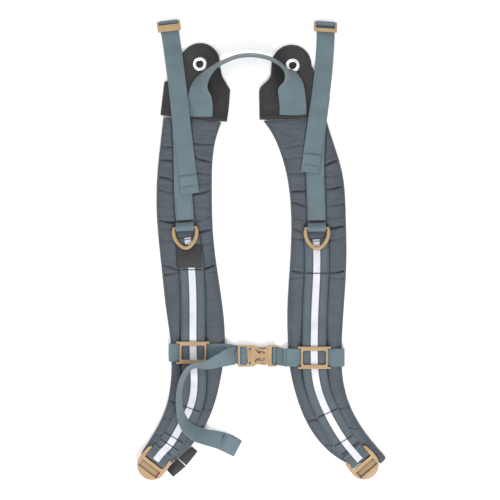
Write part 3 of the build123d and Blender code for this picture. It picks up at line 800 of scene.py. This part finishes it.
def closed_sheet(name, rows, upper, lower, slot, replaced, fold=None):
    """A closed form from two height fields over the same rows of plan points.

    The rim of each is shared: the first and last column and the first and last row meet.
    """
    verts, faces, shares = [], [], []
    count = len(rows[0])
    total = len(rows)
    upper_at, lower_at = {}, {}
    for i, row in enumerate(rows):
        for k, place in enumerate(row):
            rim = i in (0, total - 1) or k in (0, count - 1)
            top, bottom = upper(i, k), lower(i, k)
            shares += [fold(i, k) if fold else 0.0] * (1 if rim else 2)
            if rim:
                verts.append((place[0], place[1], (top + bottom) / 2))
                upper_at[i, k] = lower_at[i, k] = len(verts) - 1
                continue
            verts.append((place[0], place[1], top))
            upper_at[i, k] = len(verts) - 1
            verts.append((place[0], place[1], min(bottom, top - 0.2 * MM)))
            lower_at[i, k] = len(verts) - 1
    for i in range(total - 1):
        for k in range(count - 1):
            quad = ((i, k), (i + 1, k), (i + 1, k + 1), (i, k + 1))
            faces.append(tuple(upper_at[q] for q in quad))
            faces.append(tuple(lower_at[q] for q in reversed(quad)))
    piece = make_piece(name, verts, faces, slot, replaced=replaced)
    # painted shade: each point's share is stored as an attribute that darkens the finish's colour
    if fold:
        piece.data.attributes.new("fold", "FLOAT", "POINT").data.foreach_set("value", shares)
    return piece


def pad_columns(count):
    """Shares from -1 to 1 across a pad, closer together near its edges."""
    return np.sin(np.linspace(-math.pi / 2, math.pi / 2, count)) * 0.6 + np.linspace(-1, 1, count) * 0.4


def make_pad(pad):
    """Face, foam, edge stitching, mesh back and bound edge of one pad."""
    side = pad.side
    shares = pad_columns(pad.COLUMNS)
    grid, heights, painted_shading = [], [], []
    for i, (_, _, low, high) in enumerate(pad.rows):
        offsets = [low + (high - low) * (share + 1) / 2 for share in shares]
        places = [pad.surface(i, offset) for offset in offsets]
        grid.append([place for place, _ in places])
        heights.append([top for _, top in places])
        # share of painted shade at each point of the face
        painted_shading.append([pad.fold(i, offset) for offset in offsets])
    seam = pad.SEAM
    face = closed_sheet(
        f"pad_face_{side}_cover", grid, lambda i, k: heights[i][k],
        lambda i, k: max(seam - 0.1 * MM, heights[i][k] - 1.0 * MM),
        "slate_fabric", [f"pad_face_{side}"], fold=lambda i, k: painted_shading[i][k])

    inner = [k for k in range(pad.COLUMNS) if abs(shares[k]) < 0.93]
    foam_rows = [[row[k] for k in inner] for row in grid[3:-3]]
    tops = [[row[k] for k in inner] for row in heights[3:-3]]
    closed_sheet(
        f"foam_core_{side}_shaped", foam_rows, lambda i, k: tops[i][k] - 1.3 * MM,
        lambda i, k: 3.3 * MM, "foam", [f"foam_core_{side}"])

    rows = []
    inset = 3.4 * MM
    for edge, shift in ((2, inset), (3, -inset)):
        spots = [pad.surface(i, pad.rows[i][edge] + shift) for i in range(6, len(pad.rows) - 6)]
        rows.append([((place[0], place[1], top), UP) for place, top in spots])
    stitch_rows(f"pad_edge_stitching_{side}", rows, pitch=3.0 * MM, length=2.0 * MM)

    def back_top(i, k):
        return max(min(heights[i][k] - 1.2 * MM, 3.1 * MM), 0 if k in inner else seam - 0.8 * MM)

    def back_bottom(i, k):
        _, _, low, high = pad.rows[i]
        rim = (1 - abs(shares[k])) * (high - low) / 2
        rounded = (seam - 0.9 * MM) * (1 - min(1, rim / (5 * MM))) ** 2
        return 0.15 * MM + rounded + channel_depth(pad, grid[i][k][1])

    back = closed_sheet(f"pad_back_{side}_mesh", grid, back_top, back_bottom, "spacer_mesh",
                        [f"pad_back_{side}"])
    make_binding(pad, grid)


def channel_depth(pad, y):
    """How far the pad's back is pressed up where the sternum webbing passes under it."""
    low, high = pad.channel
    ease, depth = 8 * MM, 1.75 * MM
    return depth * (smoothstep(low - ease, low, y) - smoothstep(high, high + ease, y))


def joint_range(name):
    """The least and greatest travel of a slide, in metres."""
    return next(j["range_m"] for j in frame["joints"] if j["name"] == name)


def make_binding(pad, grid):
    """Folded seam tape round the pad's edge."""
    left = [row[0] for row in grid]
    right = [row[-1] for row in grid]
    loop = left + list(grid[-1][1:-1]) + right[::-1] + list(grid[0][-2:0:-1])
    line = smoothed_ring(evenly(np.array(loop + [loop[0]]), 2.2 * MM)[:-1], 3)
    line[:, 2] = pad.SEAM
    # in millimetres: outwards from the seam, and up
    section = [(0.9, 0.0), (0.75, 1.3), (-0.3, 1.9), (-1.9, 2.2), (-2.2, 1.6), (-0.9, 0.9),
               (-0.9, -0.9), (-2.2, -1.6), (-1.9, -2.1), (-0.3, -1.8), (0.75, -1.2)]
    outwards = -1 if clockwise(line) else 1
    verts = []
    for place, ahead in zip(line, ring_ahead(line)):
        forward = Vector(ahead).normalized()
        out = Vector((forward.y, -forward.x, 0)) * outwards
        verts += [Vector(place) + out * ((x - 0.7) * MM) + UP * (z * MM) for x, z in section]
    make_piece(f"edge_binding_{pad.side}_tape", verts, tube_faces(len(line), len(section)), "slate_fabric",
               replaced=[f"edge_binding_{pad.side}"])


def clockwise(line):
    """Whether a closed line runs clockwise, seen from above."""
    x, y = line[:, 0], line[:, 1]
    return float(np.sum(x * np.roll(y, -1) - np.roll(x, -1) * y)) < 0


# ---------------------------------------------------------------- band, tape and their stitching

def band_route(side):
    """Middle line of the centre band, at the height of its underside, from the D-ring down."""
    line, _ = both_ways(f"centre_band_{side}", ON_BAND, 3 * MM)
    return evenly(smoothed(line), 2 * MM)


def flat_across(line):
    """Level width directions along a line."""
    ahead = np.gradient(line, axis=0)
    sides = np.stack([-ahead[:, 1], ahead[:, 0], np.zeros(len(line))], axis=1)
    sides /= np.linalg.norm(sides, axis=1)[:, None]
    sides[sides[:, 0] < 0] *= -1
    return sides


def make_band(side):
    """Dark webbing down the pad with reflective tape on it, both carried round the ladder-lock's bar."""
    line = band_route(side)
    across = flat_across(line)
    thick = 1.1 * MM
    ribbon(f"centre_band_{side}_webbing", line + [0, 0, thick / 2], across, 33.4 * MM,
           [f"centre_band_{side}"], "dark_webbing", thick=thick)

    pivot, bar, out = hinge(f"ladder_lock_{side}_tilt", upwards=False)
    base = float(line[-1][2]) + thick - pivot.z
    turn = 2.55 * MM
    over = [(-18 * MM, base + 1.9 * MM), (-14 * MM, base + 1.9 * MM), (-9 * MM, base + 2.9 * MM),
            (-5 * MM, turn - 0.9 * MM), (-2.4 * MM, turn - 0.15 * MM)]
    under = [(-3 * MM, base + 0.9 * MM), (-8 * MM, base + 0.7 * MM), (-18 * MM, base + 0.7 * MM)]
    loop = evenly(np.array(around(pivot, out, over + arc_points(turn, 88, -84, 16) + under)), 0.8 * MM)
    ribbon(f"ladder_lock_loop_{side}_webbing", smoothed(loop, 2), [bar] * len(loop), 30.6 * MM,
           [f"ladder_lock_loop_{side}"], "dark_webbing", thick=thick)

    above = 0.75 * MM
    end = around(pivot, out, [(a, h + above) for a, h in over] + arc_points(turn + above, 80, -30, 10))
    start = line[np.linalg.norm((line - end[0])[:, :2], axis=1) > 7 * MM] + [0, 0, 1.25 * MM]
    tape = smoothed(evenly(np.vstack([start, end]), 1 * MM), 3)
    tape[:, :2] = smoothed(tape[:, :2], 70)
    ribbon(f"reflective_tape_{side}_strip", tape, flat_across_level(tape, bar), 9.6 * MM,
           [f"reflective_tape_{side}"], "reflective_tape", thick=0.24 * MM)

    selvedge, beside_tape, box_end = 15.2 * MM, 6.3 * MM, 14 * MM
    top = line + [0, 0, 1.2 * MM]
    rows = [[(p + a * shift, UP) for p, a in zip(top, across)]
            for shift in (-selvedge, -beside_tape, beside_tape, selvedge)]
    for back in (10.5, 12.5, 17.0):
        middle = pivot - out * back * MM
        middle.z = pivot.z + base + 2.7 * MM + max(0, 12 - back) * 0.2 * MM
        for way in (-1, 1):
            ends = sorted((way * 5.6 * MM, way * box_end))
            rows.append([(middle + bar * reach, UP) for reach in ends])
    stitch_rows(f"band_stitching_{side}", rows, pitch=2.6 * MM, length=1.5 * MM, radius=0.3 * MM)
    tacks = [row_across(Vector(tape[back]) + UP * 0.2 * MM, Vector(across[0]), 5.2 * MM) for back in (2, 3)]
    stitch_rows(f"tape_tack_{side}", tacks, pitch=1.3 * MM, length=1.3 * MM, radius=0.36 * MM)
    make_bartacks(side)


def flat_across_level(line, bar):
    """Level width directions along a line whose last stretch goes round a level bar."""
    sides = []
    for forward in np.gradient(line, axis=0):
        level = Vector((-forward[1], forward[0], 0))
        if level.length < 0.35 * np.linalg.norm(forward):
            level = bar.copy()
        level.normalize()
        if sides and level.dot(sides[-1]) < 0:
            level = -level
        sides.append(level)
    return sides


def make_bartacks(side):
    """Dense zigzag bars across the tape, one at each bar of the CAD bartacks."""
    source = bmesh.new()
    source.from_mesh(frame["nodes"][f"bartacks_{side}"].data)
    bmesh.ops.remove_doubles(source, verts=source.verts, dist=0.01 * MM)
    half, turns, swing = 14.6 * MM, 46, 0.6 * MM
    seen, rows = set(), []
    for start in source.verts:
        if start in seen:
            continue
        group, queue = [], [start]
        while queue:
            vert = queue.pop()
            if vert in seen:
                continue
            seen.add(vert)
            group.append(np.array(vert.co))
            queue += [e.other_vert(vert) for e in vert.link_edges]
        middle = np.mean(group, axis=0)
        direction = np.linalg.svd((group - middle) * [1, 1, 0])[2][0]
        square = np.array([-direction[1], direction[0], 0])
        along, sideways = direction * half, square * swing
        rows.append([(middle + along * (2 * i / turns - 1) + sideways * (1 if i % 2 else -1), UP)
                     for i in range(turns + 1)])
    source.free()
    piece = stitch_rows(f"bartacks_{side}_zigzag", rows, pitch=1.2 * MM, radius=0.42 * MM)
    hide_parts(f"bartacks_{side}")


# ---------------------------------------------------------------- straps of the yoke end

def make_lifter(side):
    """Webbing from the D-ring tack up over the tab, round the buckle's bar and back to its hem."""
    node = f"lifter_strap_{side}"
    pivot, bar, out = hinge(f"lifter_buckle_{side}_tilt", upwards=True)
    sewn, _ = both_ways(node, ON_LIFTER, 3 * MM, high=PAD_TOP + 0.9 * MM)
    lower, upper = (smoothed(np.array(layer) + [0, 0, 0.75 * MM], 3)
                    for layer in lifter_layers(node, sewn, pivot.y - 14 * MM))
    round_bar = around(pivot, out, arc_points(2.8 * MM, -88, 168, 22))
    back_under = around(pivot, out, [(-4.2 * MM, -0.6 * MM), (-7 * MM, -1.05 * MM)])
    line = evenly(np.vstack([lower, round_bar, back_under, upper[::-1]]), 1.2 * MM)
    level = bar if bar.x > 0 else -bar
    across = []
    for side_way, place in zip(flat_across(line), line):
        weight = float(smoothstep(pivot.y - 30 * MM, pivot.y - 8 * MM, place[1]))
        across.append(Vector(side_way).lerp(level, weight))
    ribbon(f"lifter_strap_{side}_webbing", line, across, WEB_25, [node])
    back = (Vector(line[-22]) - Vector(line[-1])).normalized()
    side_way = Vector((-back.y, back.x, 0)).normalized()
    hem = [Vector(line[-1]) + back * d + UP * HEM_RISE for d in np.arange(0, 26.5 * MM, 2 * MM)]
    ribbon(f"lifter_hem_{side}", hem, [side_way] * len(hem), HEM_WIDTH)
    rows = [row_across(hem[0] + back * place + UP * 0.8 * MM, side_way, 10 * MM)
            for place in (9.5 * MM, 11.0 * MM)]
    sewn_line = lower[lower[:, 1] < line[-1][1] - 4 * MM]
    for shift in (-11 * MM, 11 * MM):
        rows.append([(Vector(p) + Vector(a) * shift + UP * 0.72 * MM, UP)
                     for p, a in zip(sewn_line, flat_across(sewn_line))])
    stitch_rows(f"lifter_stitching_{side}", rows, pitch=2.6 * MM)


def lifter_layers(node, sewn, top):
    """The strap's lower layer, from the D-ring up, and the layer that lies on it, from its hem up."""
    above = 1.7 * MM
    lower = [tuple(p) for p in sewn[::-1] if p[1] < top]
    part = max(p[1] for p in lower if p[2] > PAD_TOP) - 5 * MM
    found = cut(node, (0, part, 0), (1, 0, 0), low=PAD_TOP + above)
    start = ((found[0] + found[1]) / 2, part)
    down, _ = follow(node, start, (0, -1), 3 * MM, low=PAD_TOP + above)
    beside = start[0] - float(np.interp(part, [p[1] for p in lower], [p[0] for p in lower]))
    up = [(x + beside * float(1 - smoothstep(part, part + 30 * MM, y)), y, z + above)
          for x, y, z in lower if y > part + 2 * MM]
    return lower, down[::-1] + up


def make_ring_loop(side):
    """Webbing folded round the D-ring's bar, with a dense tack behind it."""
    pivot, bar, out = hinge(f"d_ring_{side}_swing", upwards=False)
    node = f"d_ring_loop_{side}"
    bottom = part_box(node)[0].z + 0.7 * MM - pivot.z
    tail = 7.4 * MM
    line = [(-tail, bottom), (-4 * MM, bottom)]
    line += arc_points(4.1 * MM, 262, 450, 22)
    line += [(-2.5 * MM, 3.0 * MM), (-5.0 * MM, 0.2 * MM), (-6.0 * MM, -1.6 * MM)]
    line += [(-tail, bottom + 1.5 * MM)]
    smooth = smoothed(evenly(np.array(around(pivot, out, line)), 0.9 * MM), 2)
    ribbon(f"{node}_webbing", smooth, [bar] * len(smooth), WEB_25, [node])
    rows = []
    for back in (7.0, 8.2, 9.4, 10.6):
        middle = pivot - out * back * MM
        middle.z = PAD_TOP + (3.2 * MM if back < 7.5 else 1.9 * MM)
        rows.append(row_across(middle, bar, 11.2 * MM))
    stitch_rows(f"d_ring_tack_{side}", rows, pitch=1.5 * MM, length=1.4 * MM, radius=0.34 * MM)


def make_d_ring(side):
    """Moulded D-ring: a thick U with a straight bar across its open end."""
    pivot, bar, out = hinge(f"d_ring_{side}_swing", upwards=False)
    # half of the U in millimetres: along the bar, and out from it
    u_shape = [(16, 0), (16.3, 6), (15.8, 11), (13.6, 17), (10, 22.4), (5.4, 26.8), (0, 28.6)]
    u_shape += [(-v, t) for v, t in u_shape[-2::-1]]
    step, sides = 0.8 * MM, 16
    bow = spline_through([(v * MM, t * MM, 0) for v, t in u_shape], step)
    straight = [(v, 0, 0) for v in np.arange(-15.2 * MM, 15.3 * MM, step)]
    line = np.vstack([bow, straight])
    verts = []
    for (v, t, _), (dv, dt, _) in zip(line, ring_ahead(line)):
        off_bar = float(smoothstep(1.5 * MM, 4.0 * MM, t))
        wide, tall = (2.0 + 0.65 * off_bar) * MM, (2.0 + 0.25 * off_bar) * MM
        sideways = (bar * dt - out * dv) / math.hypot(dv, dt)
        for a in range(sides):
            x, z = math.cos(math.tau * a / sides), math.sin(math.tau * a / sides)
            squared = max(abs(x), abs(z)) ** -0.35
            verts.append(pivot + bar * v + out * t + sideways * (wide * squared * x)
                         + UP * (tall * squared * z))
    make_piece(f"d_ring_{side}_moulded", verts, tube_faces(len(line), sides), "tan_acetal",
               node_body[f"d_ring_{side}"], [f"d_ring_{side}"])


def make_tab(side):
    """Yoke tab: coated covers over a sheet, hemmed, with the eyelet set through them."""
    front = f"anchor_cover_front_{side}"
    low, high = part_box(front)
    rise = high.y - low.y
    count = 74
    ys = [high.y - rise * (1 - math.cos(math.pi / 2 * i / count)) for i in range(count + 1)]
    ys = sorted({round(max(low.y + 0.3 * MM, y - 0.15 * MM), 6) for y in ys}, reverse=True)
    spans = [cut(front, (0, y, 0), (1, 0, 0))[:2] for y in ys]
    shares = pad_columns(44)
    rows = [[np.array([a + (b - a) * (s + 1) / 2, y, 0]) for s in shares] for (a, b), y in zip(spans, ys)]
    low_x, high_x = zip(*spans)
    border = np.array([*zip(low_x, ys), *zip(high_x[::-1], ys[::-1])])

    def edge_distance(place):
        along = np.roll(border, -1, axis=0) - border
        size = np.maximum((along ** 2).sum(axis=1), 1e-12)
        t = np.clip(((place[:2] - border) * along).sum(axis=1) / size, 0, 1)
        return np.linalg.norm(border + along * t[:, None] - place[:2], axis=1).min()

    def onto_pad(y):
        return 3.4 * MM * (1 - smoothstep(low.y, low.y + 16 * MM, y))

    distance = [[edge_distance(p) for p in row] for row in rows]

    def upper(i, k):
        d = distance[i][k]
        x, y, _ = rows[i][k]
        hem = 0.5 * MM * smoothstep(0, 1.5 * MM, d) - 0.35 * MM * smoothstep(6.2 * MM, 7.4 * MM, d)
        stitch = -0.35 * MM * bell(d - 4.6 * MM, 0.6 * MM)
        swell = rough_at((x, y, 0), 40, 6.0) * 0.5 * MM
        return high.z + hem + stitch + swell * smoothstep(0, 8 * MM, d) + onto_pad(y) - 0.3 * MM

    cover = closed_sheet(f"{front}_hemmed", rows, upper, lambda i, k: upper(i, k) - 1.0 * MM,
                         "black_coated_fabric", [front])
    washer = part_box(f"grommet_washer_{side}")
    eye = (washer[0] + washer[1]) / 2
    drill(cover, eye, 6.4 * MM)
    refined(f"anchor_cover_back_{side}", 0.35 * MM)

    loops = []
    for inset in (3.8 * MM, 5.4 * MM):
        row = [((x, y, high.z + 0.12 * MM + onto_pad(y)), UP) for x, y, _ in inset_line(border, inset)]
        loops.append(row + row[:1])
    stitch_rows(f"anchor_stitching_{side}", loops, pitch=2.8 * MM, length=2.0 * MM, radius=0.28 * MM)
    make_eyelet(side, eye)


def make_eyelet(side, eye):
    """Rolled eyelet and its back washer, as (radius, height) profiles in millimetres."""
    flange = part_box(f"grommet_{side}")[1].z / MM
    rolled = [(5.0, 0.3), (5.0, flange - 0.9), (5.3, flange - 0.3), (6.0, flange + 0.1),
              (7.4, flange + 0.25), (8.8, flange + 0.05), (9.7, flange - 0.4), (10.0, flange - 0.9),
              (9.4, flange - 0.95), (6.3, flange - 0.95), (6.1, 0.3)]
    ring = [(6.25, 0.1), (7.0, 0.0), (9.3, 0.05), (10.0, 0.5), (9.7, 0.95), (6.25, 0.95)]
    for node, profile in ((f"grommet_{side}", rolled), (f"grommet_washer_{side}", ring)):
        lathe(f"{node}_rolled", eye, profile, "plated_metal", [node])


def inset_line(border, distance):
    """A closed plan outline moved inwards, evenly spaced and smoothed."""
    closed = np.vstack([border, border[:1]])
    line = evenly(np.hstack([closed, np.zeros((len(closed), 1))]), 2 * MM)[:-1]
    turn = -1 if clockwise(line) else 1
    line = smoothed_ring(line, 4)
    ahead = ring_ahead(line)
    ahead /= np.linalg.norm(ahead, axis=1)[:, None]
    inwards = np.stack([-ahead[:, 1], ahead[:, 0], np.zeros(len(line))], axis=1) * turn
    return line + inwards * distance


def drill(piece, centre, radius):
    """Cuts a round hole right through a piece."""
    rod = bmesh.new()
    bmesh.ops.create_cone(rod, cap_ends=True, segments=48, radius1=radius, radius2=radius, depth=0.06)
    data = bpy.data.meshes.new("cutter")
    rod.to_mesh(data)
    rod.free()
    subtract(piece, data, centre)


def groove_socket(piece):
    """Curved relief slots on the socket's top, over the prongs."""
    low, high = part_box("buckle_socket")
    middle = (low.y + high.y) / 2
    width, bottom, top = 1.3 * MM, -1.6 * MM, 1.0 * MM
    # X and the distance from the buckle's middle line, in millimetres
    slots = [
        [(-7.9, 9.0), (-5.8, 6.8), (-3.6, 4.6), (-0.8, 3.9)], [(2.0, 4.1), (5.7, 4.5)],
        [(-8.6, -8.6), (-7.0, -5.6), (-4.0, -4.1), (-0.8, -3.8)], [(2.0, -3.8), (5.7, -3.9)],
    ]
    for slot in slots:
        line = spline_through([(x * MM, middle + y * MM, high.z) for x, y in slot], 0.5 * MM)
        verts, faces = [], []
        for place, forward in zip(line, np.gradient(line, axis=0)):
            side = Vector((-forward[1], forward[0], 0)).normalized() * width / 2
            verts += [tuple(Vector(place) + UP * height + side * sign)
                      for sign, height in ((-1, bottom), (1, bottom), (1, top), (-1, top))]
        for i in range(0, len(verts) - 4, 4):
            faces += ring_faces(i, i + 4, 4)
        faces += [(3, 2, 1, 0), tuple(len(verts) - 4 + k for k in range(4))]
        data = bpy.data.meshes.new("cutter")
        data.from_pydata(verts, [], faces)
        subtract(piece, data)


def subtract(piece, data, place=(0, 0, 0)):
    """Takes a closed mesh, set down at a place, away from a piece."""
    cutter = bpy.data.objects.new("cutter", data)
    cutter.location = place
    bpy.context.scene.collection.objects.link(cutter)
    hole = piece.modifiers.new("hole", "BOOLEAN")
    hole.operation = "DIFFERENCE"
    hole.object = cutter
    hole.solver = "EXACT"
    apply_modifiers(piece)
    bpy.data.objects.remove(cutter)


# ---------------------------------------------------------------- twisted webbing

# Stations along the middle of the webbing: X, Y and Z in millimetres, and roll in degrees
HAUL_LOOP = [
    (-88, 189, 5.4, 0), (-87.5, 202, 8.2, 6), (-86.5, 218, 14, 28), (-85, 232, 20, 50),
    (-79, 244, 24, 66), (-67, 257, 26, 76), (-51, 266.5, 24, 78), (-32, 273.5, 22, 78),
    (-12, 275, 21, 78), (8, 271.5, 22, 78), (23.5, 264, 25, 79), (32.5, 256, 26, 80),
    (37, 248.5, 24.5, 70), (39.8, 239.5, 20, 38), (42, 229, 16, 10), (43.5, 217, 13, 0),
    (45, 203, 8.2, 0), (45, 190.5, 5.4, 0),
]
STERNUM_TAIL = [
    (-38, -150, 8.2, 0), (-43.5, -150.5, 12, 6), (-50, -152.5, 16, 24), (-60, -156, 20.5, 42),
    (-73, -160.6, 24.4, 54), (-84, -162.4, 27.6, 66), (-92.5, -162.6, 28.2, 73), (-100.5, -166, 28, 74),
    (-108, -175, 27.6, 74), (-113.3, -188, 27.5, 74), (-115.7, -202, 27.4, 74), (-115.8, -218, 27, 72),
    (-113, -234, 25.8, 66), (-105.5, -249.5, 23.2, 52), (-92, -259.5, 20.4, 38), (-78, -264.5, 17.9, 32),
    (-62, -268.8, 10, 20), (-47.5, -274, 3.8, 8), (-33.5, -282, 1.6, 0),
]


def twisted(stations, step=2 * MM):
    """Middle line and width directions of webbing that rolls from flat to on edge."""
    line = spline_through([(x * MM, y * MM, z * MM, roll) for x, y, z, roll in stations], step)
    ahead = np.gradient(line[:, :3], axis=0)
    across = []
    for forward, roll in zip(ahead, line[:, 3]):
        forward = Vector(forward).normalized()
        level = forward.cross(UP).normalized()
        upward = level.cross(forward)
        turn = math.radians(roll)
        across.append(level * math.cos(turn) + upward * math.sin(turn))
    return line[:, :3], across


def make_haul_loop():
    """Handle between the two tabs, flat where it is sewn and on edge in between."""
    line, across = twisted(HAUL_LOOP)
    ribbon("haul_loop_webbing", line, across, WEB_38, ["haul_loop"], sag=0.8 * MM)


def make_sternum_tail():
    """Free end of the sternum strap, with its folded hem."""
    line, across = twisted(STERNUM_TAIL)
    ribbon("sternum_tail_webbing", line, across, WEB_25, ["sternum_tail"], body="sternum", sag=0.5 * MM)
    side = Vector(across[-1])
    end = Vector(line[-1])
    back = (Vector(line[-14]) - end).normalized()
    normal = side.cross(back)
    if normal.z < 0:
        normal = -normal
    hem = [end + back * d + normal * HEM_RISE for d in np.arange(0, 27 * MM, 2 * MM)]
    ribbon("sternum_tail_hem", hem, [side] * len(hem), HEM_WIDTH, body="sternum")
    rows = [row_across(hem[0] + back * place + normal * 0.75 * MM, side, 11 * MM, normal)
            for place in (22.5 * MM, 24.0 * MM)]
    stitch_rows("sternum_tail_stitching", rows, "sternum")


# ---------------------------------------------------------------- sternum strap

def make_sternum_strap(side):
    """Webbing from the buckle's bar, over the pad through its slider, round the pad and back."""
    node = f"sternum_strap_{side}"
    low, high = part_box(node)
    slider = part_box(f"sternum_slider_{side}")
    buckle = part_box("buckle_plug" if side == "left" else "buckle_socket")
    y_pad, y_buckle = (slider[0].y + slider[1].y) / 2, (buckle[0].y + buckle[1].y) / 2
    bar_x, bar_z = (-24.0 if side == "left" else 18.5) * MM, (buckle[0].z + buckle[1].z) / 2
    sign = 1 if side == "left" else -1
    travel = joint_range("sternum_height")
    reach = np.arange(y_pad - WEB_25 / 2 + travel[0], y_pad + WEB_25 / 2 + travel[1], 3 * MM)
    edges = [cut(f"edge_binding_{side}", (0, y, 0), (1, 0, 0)) for y in reach]
    pad_width_ends = min(e[0] for e in edges) + max(e[1] for e in edges)
    outer_edge = low.x if side == "left" else high.x
    inset = 0.7 * MM
    outer = outer_edge + sign * inset
    inner = pad_width_ends - outer_edge - sign * inset
    line = [(x, y_pad + (y_buckle - y_pad) * towards_buckle(x, inner, bar_x), z) for x, _, z in
            sternum_route(outer, inner, bar_x, bar_z, low.z + inset, high.z - inset)]
    ribbon(f"{node}_webbing", line, [Vector((0, 1, 0))] * len(line), WEB_25, [node], body="sternum")
    rows = []
    for share in (0.30, 0.34, 0.62):
        stop = sign * (bar_x - inner) * (1 - share)
        place = next(p for p in line[31:] if sign * (p[0] - inner) < stop)
        rows.append(row_across(Vector(place) + UP * 0.72 * MM, Vector((0, 1, 0)), 11 * MM))
    stitch_rows(f"sternum_stitching_{side}", rows, "sternum", pitch=2.0 * MM, radius=0.28 * MM)


def towards_buckle(x, inner, bar_x):
    """Share of the way from the pad's inner edge to the buckle's bar."""
    share = smoothstep(min(bar_x, inner), max(bar_x, inner), x)
    return share if bar_x > inner else 1 - share


def sternum_route(outer, inner, bar_x, bar_z, bottom, top):
    """The sternum webbing's line in the XZ plane, from the buckle's bar to its end under the slider."""
    sign = 1 if bar_x > inner else -1
    radius, bend = 2.5 * MM, 3 * MM
    turns = np.linspace(0.2, math.pi / 2, 8)
    route = []
    if sign == 1:
        route += [(-37 * MM, bar_z - 0.1 * MM), (-31 * MM, bar_z + 0.2 * MM)]
    route += [(bar_x + sign * a, bar_z + b) for a, b in arc_points(radius, 120, -90, 20)]
    rest = bar_z - radius
    route += [(bar_x - sign * 7 * MM, rest), (bar_x - sign * 12 * MM, rest + 0.3 * MM)]
    route += [(inner + sign * 2.5 * MM, top - 0.3 * MM), (inner - sign * 1.5 * MM, top)]
    route += [(outer + sign * bend, top)]
    route += [(outer + sign * bend * (1 - math.sin(a)), top - bend * (1 - math.cos(a))) for a in turns]
    route += [(outer, bottom + bend)]
    route += [(outer + sign * bend * (1 - math.cos(a)), bottom + bend * (1 - math.sin(a))) for a in turns]
    route += [(inner - sign * bend, bottom)]
    route += [(inner - sign * bend * (1 - math.sin(a)), bottom + bend * (1 - math.cos(a))) for a in turns]
    route += [(inner, top - 3.2 * MM), (inner + sign * 0.2 * MM, top - 1.5 * MM)]
    return evenly(np.array([(x, 0, z) for x, z in route]), 1.0 * MM)


# ---------------------------------------------------------------- labels

def make_labels():
    """Plain label with a row of stitches round it, and two plain tags."""
    for node in ("woven_label", "size_tag", "trim_tag"):
        refined(node, 0.12 * MM, 2)
    low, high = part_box("woven_label")
    inset, z = 1.3 * MM, high.z + 0.08 * MM
    corners = [(low.x + inset, low.y + inset, z), (high.x - inset, low.y + inset, z),
               (high.x - inset, high.y - inset, z), (low.x + inset, high.y - inset, z)]
    rows = [[(corners[i - 1], UP), (corners[i], UP)] for i in range(4)]
    stitch_rows("label_stitching", rows, pitch=2.2 * MM, length=1.3 * MM)


# ---------------------------------------------------------------- build

place_camera()
set_studio()
for side in SIDES:
    make_pad(Pad(side))
    make_band(side)
    make_lifter(side)
    make_ring_loop(side)
    make_tab(side)
    make_sternum_strap(side)
    make_d_ring(side)
    for part, bevel in (("lifter_buckle", 0.5), ("sternum_slider", 0.55), ("ladder_lock", 0.6)):
        refined(f"{part}_{side}", bevel * MM)
make_haul_loop()
make_sternum_tail()
make_labels()
groove_socket(refined("buckle_socket", 0.6 * MM))
for part in ("buckle_plug", "plug_prong_upper", "plug_prong_lower"):
    refined(part, 0.6 * MM)

for name, node in frame["nodes"].items():
    node.data.materials.clear()
    node.data.materials.append(finishes[node_slot[name]])
